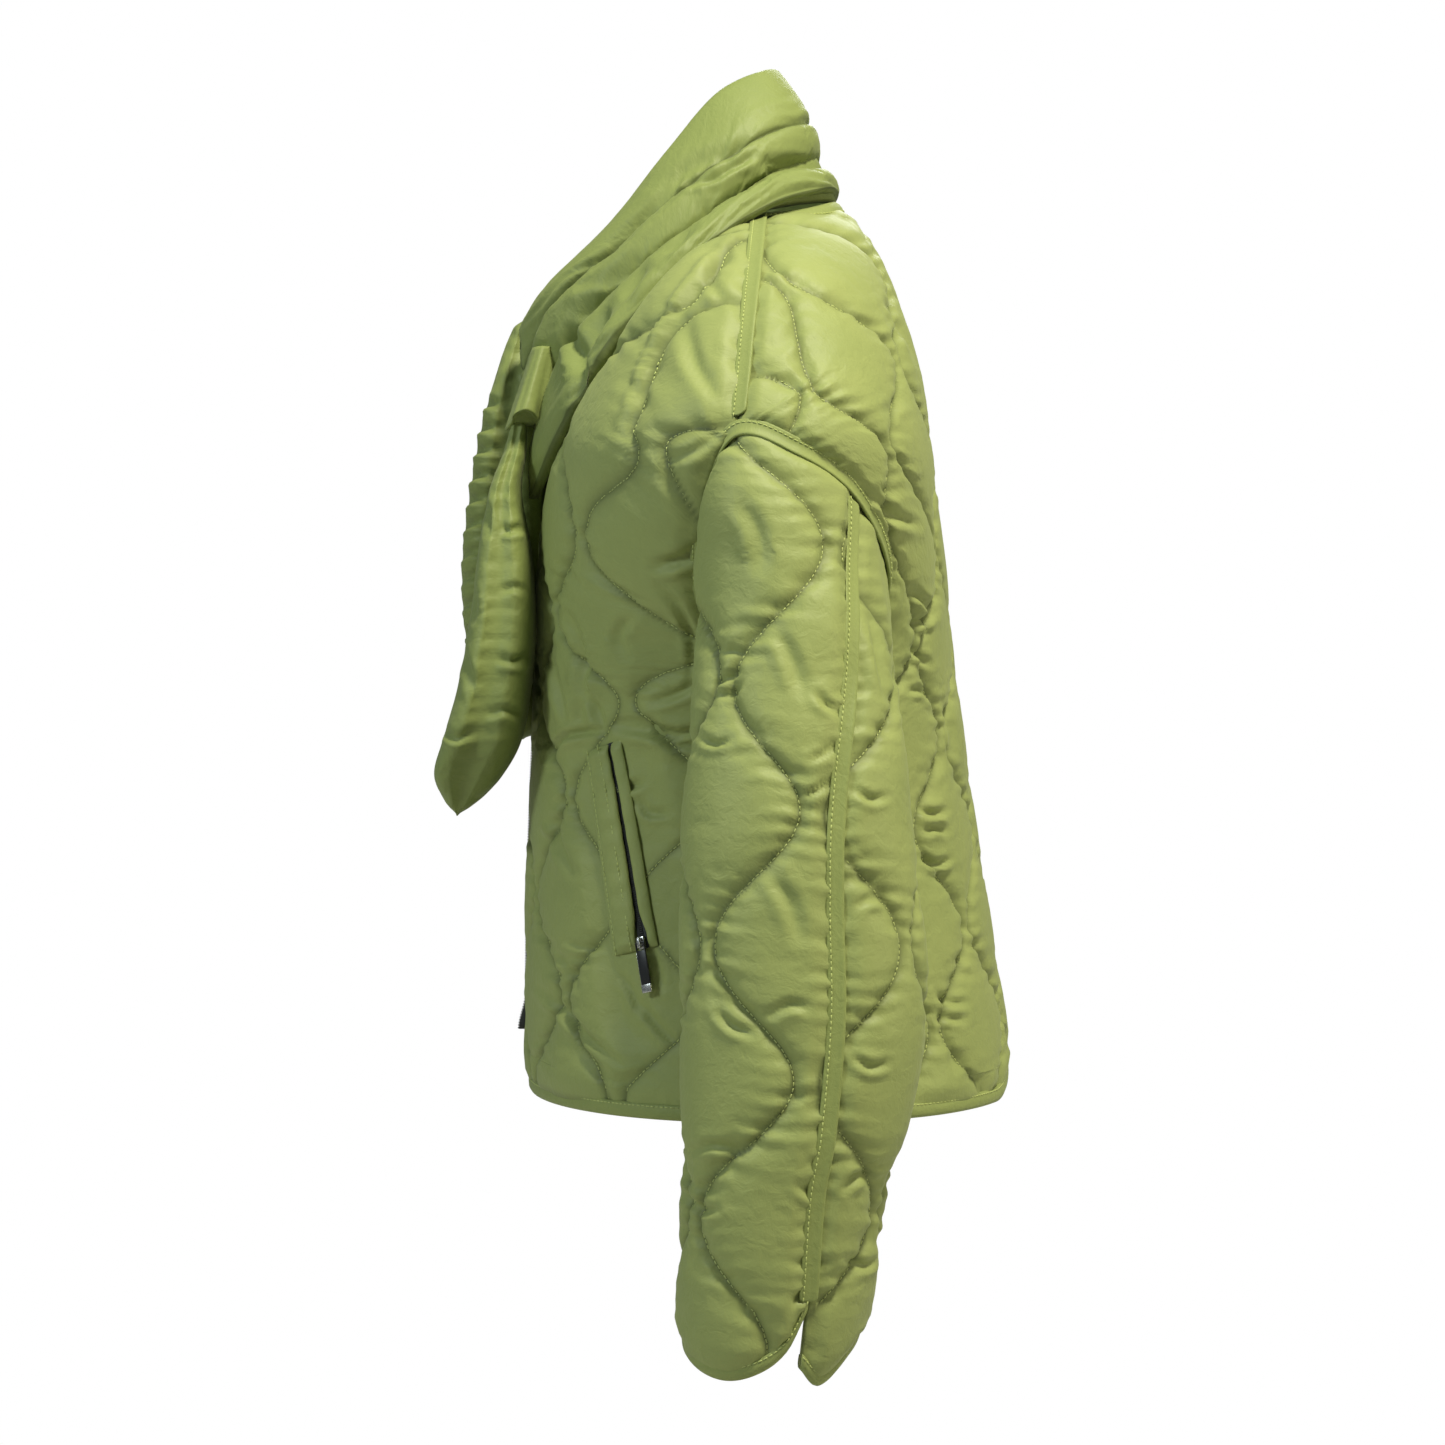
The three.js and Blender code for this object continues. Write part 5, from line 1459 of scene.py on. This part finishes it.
class Thread:
    """Collects stitches, so that each side's sewing becomes one mesh."""

    def __init__(self):
        self.rows = []

    def run(self, line, normal, lift):
        places, along, out = spaced(line, STITCH_STEP, normal)
        self.rows.append((places + out * lift, along, out))

    def sew(self, name, slot="shell"):
        places, along, out = (np.concatenate([row[k] for row in self.rows]) for k in range(3))
        print(name, len(places), "stitches")
        return repeated(name, *STITCH, places, along, out, slot)


def sew_panel(thread, name, rows, lift=0.2):
    """Stitches along every row of quilting of a panel."""
    panel = panels[name]
    side = -1 if name.endswith("right") else 1
    flat, outer, normal = panel["flat"] * (side, 1), panel["outer"], panel["normal"]
    for k in range(-9, 10):
        for half in (1, -1) if name == "back" else (1,):
            x = flat[..., 0] * half
            gap = x - row_place(rows, k, flat[..., 1])
            found = np.argmin(np.abs(gap), axis=1)
            line = np.arange(len(found))
            across = x[line, found]
            own_side = across * np.sign(across if name.startswith("sleeve") else rows["start"]) > 0
            good = (np.abs(gap[line, found]) < 1.2) & (panel["edge"][line, found] > 7) & own_side
            for run in np.split(line, np.nonzero(np.diff(good.astype(int)))[0] + 1):
                if good[run[0]] and len(run) > 6:
                    thread.run(outer[run, found[run]], normal[run, found[run]], lift)


threads = Thread()
for name, kind in (
    ("back", "back"), ("front_left", "front"), ("front_right", "front"),
    ("sleeve_front_left", "sleeve"), ("sleeve_front_right", "sleeve"),
    ("sleeve_back_left", "sleeve"), ("sleeve_back_right", "sleeve"),
):
    sew_panel(threads, name, ROWS[kind])
threads.sew("quilting_stitches")

# %% [markdown]
# Each tape and binding has one row of stitches along it, and the pocket's welt has two. A row is the
# seam's own line, moved across the strip and up onto its face.

# %% Sew the tapes, the bindings and the pockets down
TAPE_STITCH = (-0.55, 2.25)
BINDING_STITCH = (7.2, 2.3)
trim_thread = Thread()
for edge, normal, first, second, half, lift in (
    (*sleeve_seam, TAPE_HALF, 0.5),
    (*shoulder_line, TAPE_HALF, 0.5),
    (*armhole_line, armhole_half[:, None], 1.0),
):
    across, high = TAPE_STITCH
    row = edge + first * (abs(across) * half) + normal * (high + lift - 0.35)
    for side in (1, -1):
        trim_thread.run(row * (side, 1, 1), normal * (side, 1, 1), 0)
for line in (hem_line, neck_line):
    edge, normal, inward = line
    trim_thread.run(edge + inward * BINDING_STITCH[0] + normal * BINDING_STITCH[1], normal, 0)
for edge, normal, inward in cuff_lines.values():
    for side in (1, -1):
        row = edge + inward * BINDING_STITCH[0] + normal * BINDING_STITCH[1]
        trim_thread.run(row * (side, 1, 1), normal * (side, 1, 1), 0)
u = np.linspace(0, 1, 80)
for forward, high in ((22.9, 3.2), (7.4, 6.3)):
    p, normal = laid(u, forward)
    row = p + normal * high
    for side in (1, -1):
        trim_thread.run(row * (side, 1, 1), normal * (side, 1, 1), 0)
trim_thread.sew("trim_stitches", "binding")

# %% [markdown]
# The pocket zip is closed, so both rows of its teeth mesh into one. One block for each pair of teeth
# is enough at this size.

# %% Set the pocket zips' teeth
TOOTH = block((0.9, 3.4, 1.0), 0.22)
for side in (1, -1):
    u = np.linspace(0.01, 0.95, 80)
    p, normal = laid(u, 0.0)
    places, along, out = spaced(p + normal * 2.1, 1.5, normal)
    name = f"pocket_teeth_{'left' if side > 0 else 'right'}"
    places, along, out = (values * (side, 1, 1) for values in (places, along, out))
    repeated(name, *TOOTH, places, along, out, "zip_tape")
print("teeth every 1.5 mm")

# %% [markdown]
# The front zip's tapes stand on edge in the gap between the two fronts, dark and hardly seen. Their
# teeth run down the front edge of each tape.

# %% Hang the front zip
FRONT_ZIP = {"top": -205, "bottom": -588, "thick": 1.2}
FRONT_TAPES = {"left": {"x": 3.12, "reach": 1.5, "flare": 0}, "right": {"x": -3.12, "reach": 6, "flare": 5}}
for side, size in FRONT_TAPES.items():
    u = np.linspace(0, 1, 120)
    z = mix(FRONT_ZIP["top"], FRONT_ZIP["bottom"], u)
    back = form_y(size["x"], z, "front") + 2.5
    fore = form_y(size["x"], z, "front") - size["reach"] - size["flare"] * smooth((u - 0.93) / 0.07)
    half = FRONT_ZIP["thick"] / 2
    section = ((-1, back), (1, back), (1, fore + 0.4), (0.5, fore), (-0.5, fore), (-1, fore + 0.4))
    rings = np.stack([points_at(size["x"] + dx * half, y, z) for dx, y in section], 1)
    add_piece(f"front_zip_tape_{side}", carried(rings), "zip_tape", [f"zip_tape_{side}"])
    line = points_at(size["x"], fore - 0.3, z)
    places, along, out = spaced(line, 2.0, points_at(0 * z, -1, 0 * z))
    repeated(f"front_teeth_{side}", *block((1.1, 2.2, 1.2), 0.25), places, along, out, "zip_tape")
print("front zip", len(FRONT_TAPES), "tapes")

# %% [markdown]
# A pocket slider is a small metal body with an arch on top. The pull tab hangs from the arch and
# swings, so its pieces ride on the pull's own body. All sizes repeat the solid model's.

# %% Make the sliders and their pull tabs
SLIDER = {"at": 0.97, "lift": 2.3, "wide": 5.6, "long": 9, "thick": 2.2, "arch": 2.1, "gap": 2.2, "bar": 1.3}
TAB = {"wide": 7.4, "long": 34, "thick": 1.6, "bar": 1.4, "eye": 6.2, "eye_long": 4.4}


def slider_frame():
    """The slider's place and its three ways: down the zip, out of the cloth and across."""
    p, normal, _ = pocket_frame(SLIDER["at"])
    down = unit(POCKET_DOWN - normal * (POCKET_DOWN @ normal))
    return p + normal * SLIDER["lift"], down, normal, np.cross(down, normal)


def in_frame(bm, side=1, lift=0.0):
    """Moves a shape made along X (down), Y (out) and Z (across) in millimetres to the slider's place."""
    origin, down, out, across = slider_frame()
    turn = Matrix(np.stack([down, out, across], 1).tolist()).to_4x4()
    turn.translation = Vector((origin + out * lift) * MM)
    bmesh.ops.transform(bm, matrix=turn @ Matrix.Scale(MM, 4), verts=bm.verts)
    if side < 0:
        bmesh.ops.scale(bm, vec=(-1, 1, 1), verts=bm.verts)
        bmesh.ops.reverse_faces(bm, faces=bm.faces)
    return bm


def softened(bm, offset, segments=2):
    """The shape with every edge rounded."""
    bmesh.ops.bevel(
        bm, geom=bm.edges, offset=offset, affect="EDGES", segments=segments, profile=0.5, material=-1)
    return bm


def bar(low, high, offset, segments=2):
    """A box between two corners with its edges softened."""
    bm = bmesh.new()
    bmesh.ops.create_cube(bm, size=1)
    low, high = Vector(low), Vector(high)
    bmesh.ops.scale(bm, vec=high - low, verts=bm.verts)
    bmesh.ops.translate(bm, vec=(low + high) / 2, verts=bm.verts)
    return softened(bm, offset, segments)


def joined(*shapes):
    """Several separate shapes as one bmesh."""
    whole = bmesh.new()
    for shape in shapes:
        mesh = bpy.data.meshes.new("part")
        shape.to_mesh(mesh)
        whole.from_mesh(mesh)
        shape.free()
        bpy.data.meshes.remove(mesh)
    return whole


def slider_shape():
    """The slider's body with the arch that holds the pull tab."""
    long, wide, thick = SLIDER["long"] / 2, SLIDER["wide"] / 2, SLIDER["thick"]
    arch, gap, post = SLIDER["arch"], SLIDER["gap"], SLIDER["bar"]
    half = 1.3
    return joined(
        bar((-long, 0, -wide), (long, thick, wide), 0.7, 3),
        bar((-arch - post, thick - 0.3, -half), (-arch, thick + gap + post, half), 0.35),
        bar((arch, thick - 0.3, -half), (arch + post, thick + gap + post, half), 0.35),
        bar((-arch - post, thick + gap, -half), (arch + post, thick + gap + post, half), 0.45),
    )


def tab_shape():
    """The tab: two side bars and a top bar round the eye, and a plate down to the end cap."""
    half, side = TAB["wide"] / 2, (TAB["wide"] - TAB["eye"]) / 2
    thin, eye_end = TAB["thick"] / 2, TAB["bar"] / 2 + TAB["eye_long"]
    return joined(
        bar((-TAB["bar"] / 2, -thin, -half), (TAB["bar"] / 2, thin, half), 0.3),
        bar((-TAB["bar"] / 2, -thin, -half), (eye_end + 0.5, thin, -half + side), 0.2),
        bar((-TAB["bar"] / 2, -thin, half - side), (eye_end + 0.5, thin, half), 0.2),
        bar((eye_end, -thin, -half), (TAB["long"] - 5.5, thin, half), 0.5, 3),
    )


def cap_shape():
    """The metal cap on the tab's end, and the bright edge that runs up one side."""
    half, thin = TAB["wide"] / 2, TAB["thick"] / 2
    start, end = TAB["bar"] / 2 + TAB["eye_long"] + 0.8, TAB["long"] - 5.6
    return joined(
        bar((TAB["long"] - 5.8, -thin - 0.25, -half - 0.2), (TAB["long"], thin + 0.25, half + 0.2), 0.5, 3),
        bar((start, -thin * 0.7, half - 0.25), (end, thin * 0.7, half + 0.25), 0.2),
    )


tab_lift = SLIDER["thick"] + SLIDER["gap"] / 2
for name, side in (("left", 1), ("right", -1)):
    slider, pull = in_frame(slider_shape(), side), f"pull_{name}"
    add_piece(f"pocket_slider_body_{name}", slider, "slider", [f"pocket_slider_{name}"])
    plate, cap = in_frame(tab_shape(), side, tab_lift), in_frame(cap_shape(), side, tab_lift)
    add_piece(f"{pull}_plate", plate, "pull_tab", [f"pull_tab_{name}"], pull)
    add_piece(f"{pull}_cap", cap, "slider", (), pull)
print("pull tab", TAB["long"], "mm long")

# %% [markdown]
# Where the left end comes out, the scarf is pulled through a loop of its own cloth. The loop is a
# short soft tube that is gathered into upright folds, twists a little on its way down, and turns
# in at its lower edge.

# %% Tie the scarf's loop
KNOT = {"x": (60, 69), "y": (-154, -167), "z": (-92, -150), "half_x": (16, 29), "half_y": (9, 15)}


def knot_shape():
    w = np.linspace(0, 1, 48)[:, None]
    turn = np.linspace(0, 2 * math.pi, 96, endpoint=False) + 0.5 * w
    folds = 0.06 * np.cos(4 * turn + 0.6) + 0.04 * np.cos(7 * turn - 2.2 * w) + 0.02 * np.cos(12 * turn + 1)
    hem = smooth((w - 0.86) / 0.14)
    size = (1 + folds * mix(0.4, 1.3, w)) * (1 - 0.34 * hem**2)
    x, y, z, half_x, half_y = (mix(*KNOT[key], w**0.8) for key in ("x", "y", "z", "half_x", "half_y"))
    z = z + 6 * w * np.cos(2 * turn) + 4 * hem**2
    return carried(points_at(x + half_x * size * np.cos(turn), y + half_y * size * np.sin(turn), z))


shell["loop"] = add_piece("scarf_loop_roll", knot_shape(), "scarf", ["scarf_loop"])
print("loop", KNOT["z"][0] - KNOT["z"][1], "mm long")

# %% [markdown]
# The cloth is a polyester satin with a dry hand: very fine cross threads, a soft sheen and small
# crumples. One shader group makes the weave, the crumple and a slow drift of tone, and every cloth
# takes it with its own values. It reads the flat pattern's UV map, which is in centimetres.

# %% Build the weave group


def link(tree, out, into):
    tree.links.new(out, into)


def math_node(tree, kind, a, b=None, c=None):
    node = tree.nodes.new("ShaderNodeMath")
    node.operation = kind
    for socket, value in zip(node.inputs, (a, b, c)):
        if value is None:
            continue
        if isinstance(value, (int, float)):
            socket.default_value = value
        else:
            link(tree, value, socket)
    return node.outputs[0]


def noise(tree, coordinates, scale, detail=3.0, rough=0.5, warp=0.0):
    node = tree.nodes.new("ShaderNodeTexNoise")
    node.inputs["Scale"].default_value = scale
    node.inputs["Detail"].default_value = detail
    node.inputs["Roughness"].default_value = rough
    node.inputs["Distortion"].default_value = warp
    link(tree, coordinates, node.inputs["Vector"])
    return node.outputs["Fac"]


def build_satin():
    """A group with the threads, the crumple and the drift of tone of a thin polyester satin."""
    tree = bpy.data.node_groups.new("satin cloth", "ShaderNodeTree")
    for name, low, default, high in (
        ("Threads per cm", 1, 26, 80), ("Thread depth", 0, 0.15, 1),
        ("Crumple", 0, 0.5, 2), ("Drift size", 0.01, 0.06, 1),
    ):
        socket = tree.interface.new_socket(name, in_out="INPUT", socket_type="NodeSocketFloat")
        socket.min_value, socket.max_value, socket.default_value = low, high, default
    tree.interface.new_socket("Height", in_out="OUTPUT", socket_type="NodeSocketFloat")
    tree.interface.new_socket("Tone", in_out="OUTPUT", socket_type="NodeSocketFloat")
    tree.interface.new_socket("Roughness shift", in_out="OUTPUT", socket_type="NodeSocketFloat")
    given, made = tree.nodes.new("NodeGroupInput"), tree.nodes.new("NodeGroupOutput")
    where = tree.nodes.new("ShaderNodeUVMap")
    where.uv_map = "cloth"
    uv = where.outputs["UV"]
    split = tree.nodes.new("ShaderNodeSeparateXYZ")
    link(tree, uv, split.inputs[0])
    turns = math_node(tree, "MULTIPLY", given.outputs["Threads per cm"], 2 * math.pi)
    warp = math_node(tree, "SINE", math_node(tree, "MULTIPLY", split.outputs["X"], turns))
    weft = math_node(tree, "SINE", math_node(tree, "MULTIPLY", split.outputs["Y"], turns))
    threads = math_node(tree, "MULTIPLY", math_node(tree, "ADD", warp, weft), given.outputs["Thread depth"])
    fibres = noise(tree, uv, 22, 2.0, 0.6)
    crumple = noise(tree, uv, 1.1, 3.0, 0.55, 0.6)
    ripple = noise(tree, uv, 3.2, 2.0, 0.5, 0.4)
    folds = math_node(tree, "MULTIPLY_ADD", crumple, 9.0, math_node(tree, "MULTIPLY", ripple, 2.0))
    folds = math_node(tree, "MULTIPLY", folds, given.outputs["Crumple"])
    height = math_node(tree, "MULTIPLY_ADD", threads, 0.06, folds)
    height = math_node(tree, "MULTIPLY_ADD", fibres, 0.10, height)
    link(tree, height, made.inputs["Height"])
    slow = noise(tree, uv, 0.16, 2.0, 0.5, 0.3)
    fine = noise(tree, uv, 9, 2.0, 0.6)
    tone = math_node(tree, "MULTIPLY_ADD", fine, 0.30, math_node(tree, "MULTIPLY", slow, 0.8))
    link(tree, math_node(tree, "SUBTRACT", tone, 0.05), made.inputs["Tone"])
    link(tree, math_node(tree, "MULTIPLY_ADD", fibres, 0.12, -0.06), made.inputs["Roughness shift"])
    return tree


satin = build_satin()
print("group outputs", [s.name for s in satin.interface.items_tree if s.in_out == "OUTPUT"])

# %% [markdown]
# Every cloth is the satin with its own two tones, which drift into each other over a few centimetres, and is
# darkened beside the thread by painted shade.
# The zips, the sliders and the pull tabs are plain materials with a fine grain.

# %% Make the cloth materials
GREENS = {
    # darker and lighter tone of each cloth, as linear colours
    "shell": ((0.232, 0.272, 0.088), (0.300, 0.335, 0.110)),
    "scarf": ((0.176, 0.216, 0.062), (0.232, 0.270, 0.082)),
    "binding": ((0.205, 0.245, 0.074), (0.262, 0.300, 0.094)),
    "thread": ((0.400, 0.450, 0.150), (0.460, 0.510, 0.180)),
}


def cloth_material(name, dark, light, crumple=0.28, depth=0.15, rough=0.55, sheen=0.1):
    """A cloth from the satin group, with its own tones, darkened beside the thread by painted shade."""
    material = bpy.data.materials.new(name)
    material.use_nodes = True
    tree = material.node_tree
    shader = tree.nodes["Principled BSDF"]
    weave = tree.nodes.new("ShaderNodeGroup")
    weave.node_tree = satin
    weave.inputs["Crumple"].default_value = crumple
    weave.inputs["Thread depth"].default_value = depth
    tones = tree.nodes.new("ShaderNodeMix")
    tones.data_type = "RGBA"
    tones.inputs[6].default_value = (*dark, 1)
    tones.inputs[7].default_value = (*light, 1)
    link(tree, weave.outputs["Tone"], tones.inputs[0])
    # painted shade: beside the thread the colour is mixed towards half its dark tone, standing in for the
    # shadow in the quilting's valleys
    near = tree.nodes.new("ShaderNodeAttribute")
    near.attribute_name = "near_thread"
    deep = tree.nodes.new("ShaderNodeMix")
    deep.data_type = "RGBA"
    deep.inputs[7].default_value = (*(0.5 * part for part in dark), 1)
    link(tree, near.outputs["Fac"], deep.inputs[0])
    link(tree, tones.outputs[2], deep.inputs[6])
    link(tree, deep.outputs[2], shader.inputs["Base Color"])
    link(tree, math_node(tree, "ADD", weave.outputs["Roughness shift"], rough), shader.inputs["Roughness"])
    bump = tree.nodes.new("ShaderNodeBump")
    bump.inputs["Strength"].default_value = 0.5
    bump.inputs["Distance"].default_value = 0.0006
    link(tree, weave.outputs["Height"], bump.inputs["Height"])
    link(tree, bump.outputs["Normal"], shader.inputs["Normal"])
    shader.inputs["Specular IOR Level"].default_value = 0.26
    shader.inputs["Sheen Weight"].default_value = sheen
    shader.inputs["Sheen Roughness"].default_value = 0.4
    shader.inputs["Sheen Tint"].default_value = (0.80, 0.88, 0.52, 1)
    return material


def plain_material(name, colour, rough, metal=0.0, grain=0.0):
    """A hard or dark finish, with a little grain in its roughness."""
    material = bpy.data.materials.new(name)
    material.use_nodes = True
    tree = material.node_tree
    shader = tree.nodes["Principled BSDF"]
    shader.inputs["Base Color"].default_value = (*colour, 1)
    shader.inputs["Metallic"].default_value = metal
    where = tree.nodes.new("ShaderNodeTexCoord").outputs["Object"]
    spots = noise(tree, where, 900, 3.0, 0.6)
    link(tree, math_node(tree, "MULTIPLY_ADD", spots, 0.25, rough - 0.12), shader.inputs["Roughness"])
    bump = tree.nodes.new("ShaderNodeBump")
    bump.inputs["Strength"].default_value = grain
    bump.inputs["Distance"].default_value = 0.0002
    link(tree, spots, bump.inputs["Height"])
    link(tree, bump.outputs["Normal"], shader.inputs["Normal"])
    return material


finishes = {name: cloth_material(f"{name} satin", *tones) for name, tones in GREENS.items()}
finishes["zip"] = plain_material("dark zip", (0.012, 0.013, 0.010), 0.6, grain=0.5)
finishes["metal"] = plain_material("slider metal", (0.55, 0.54, 0.52), 0.25, 1.0, 0.1)
finishes["tab"] = plain_material("black pull", (0.010, 0.010, 0.011), 0.32, 0.0, 0.1)

SLOT_FINISH = {
    "shell": "shell", "scarf": "scarf", "binding": "binding",
    "zip_tape": "zip", "slider": "metal", "pull_tab": "tab",
}
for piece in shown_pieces():
    finish = "thread" if piece.name.endswith("stitches") else SLOT_FINISH[piece["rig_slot"]]
    piece.data.materials.clear()
    piece.data.materials.append(finishes[finish])
print(len(bpy.data.materials), "materials")

# %% [markdown]
# The studio is a pale floor below the jacket and five soft lights: a key from above, a warm one from
# behind the wearer, a cool one from the front, a weak one from below and one on the far side. The
# camera sees plain white where there is no jacket.

# %% Light the scene


def add_light(name, place, aim, size, power, colour=(1, 1, 1)):
    """A round soft light that points at its aim."""
    light = bpy.data.objects.new(name, bpy.data.lights.new(name, "AREA"))
    bpy.context.scene.collection.objects.link(light)
    light.location = place
    light.rotation_euler = (Vector(aim) - Vector(place)).to_track_quat("-Z", "Y").to_euler()
    light.data.shape = "DISK"
    light.data.size = size
    light.data.energy = power
    light.data.color = colour
    return light


MIDDLE = (0, 0, -0.36)
add_light("key", (1.1, 0.6, 1.8), MIDDLE, 0.45, 84, (1.0, 0.965, 0.80))
add_light("back warm", (0.9, 2.2, 0.1), MIDDLE, 0.8, 15, (1.0, 0.93, 0.68))
add_light("front cool", (1.3, -2.0, 0.7), MIDDLE, 0.6, 24, (0.84, 0.97, 1.0))
add_light("low", (2.3, 0.3, -1.3), MIDDLE, 1.2, 4, (0.95, 1.0, 0.95))
add_light("far side", (-2.1, 0.2, 1.2), MIDDLE, 1.2, 26)


def add_floor(height=-1.0, radius=3.0):
    """A wide pale disc that bounces light up, seen as white by the camera."""
    bm = bmesh.new()
    bmesh.ops.create_circle(bm, cap_ends=True, radius=radius, segments=96)
    bmesh.ops.translate(bm, vec=(0, 0, height), verts=bm.verts)
    mesh = bpy.data.meshes.new("floor")
    bm.to_mesh(mesh)
    bm.free()
    floor = bpy.data.objects.new("floor", mesh)
    bpy.context.scene.collection.objects.link(floor)
    material = bpy.data.materials.new("pale floor")
    material.use_nodes = True
    tree = material.node_tree
    shader = tree.nodes["Principled BSDF"]
    shader.inputs["Base Color"].default_value = (0.45, 0.45, 0.44, 1)
    shader.inputs["Roughness"].default_value = 0.8
    paper = tree.nodes.new("ShaderNodeEmission")
    seen_by = tree.nodes.new("ShaderNodeMixShader")
    link(tree, tree.nodes.new("ShaderNodeLightPath").outputs["Is Camera Ray"], seen_by.inputs[0])
    link(tree, shader.outputs[0], seen_by.inputs[1])
    link(tree, paper.outputs[0], seen_by.inputs[2])
    link(tree, seen_by.outputs[0], tree.nodes["Material Output"].inputs["Surface"])
    mesh.materials.append(material)
    return floor


add_floor()
world = bpy.data.worlds.new("studio")
world.use_nodes = True
bpy.context.scene.world = world
nodes, links = world.node_tree.nodes, world.node_tree.links
room = nodes["Background"]
room.inputs["Color"].default_value = (0.84, 0.95, 1.0, 1)
room.inputs["Strength"].default_value = 0.16
seen = nodes.new("ShaderNodeBackground")
seen.inputs["Color"].default_value = (1, 1, 1, 1)
seen.inputs["Strength"].default_value = 1.0
which = nodes.new("ShaderNodeMixShader")
links.new(nodes.new("ShaderNodeLightPath").outputs["Is Camera Ray"], which.inputs[0])
links.new(room.outputs[0], which.inputs[1])
links.new(seen.outputs[0], which.inputs[2])
links.new(which.outputs[0], nodes["World Output"].inputs["Surface"])
bpy.context.scene.view_settings.view_transform = "Standard"

# %% [markdown]
# Every panel's size as its cloth was cut, before the puffing, is printed: the flat
# pattern's width and length, and the area inside its outline. The stuffed collar and ends are
# left out.


def cut_of(panel):
    """Width, length and area of a flat pattern piece, in metres."""
    flat = panel["flat"]
    a, b, c, d = flat[:-1, :-1], flat[:-1, 1:], flat[1:, 1:], flat[1:, :-1]
    ac, bd = c - a, d - b
    area = float(np.abs(ac[..., 0] * bd[..., 1] - ac[..., 1] * bd[..., 0]).sum() / 2)
    width, length = np.ptp(flat.reshape(-1, 2), axis=0)
    return (float(width) * MM, float(length) * MM), area * MM * MM


for name, piece in shell.items():
    if name in panels and name != "collar":
        flat, area = cut_of(panels[name])
        print(name, "is cut", [round(v, 3) for v in flat], "m, area", round(area, 4))
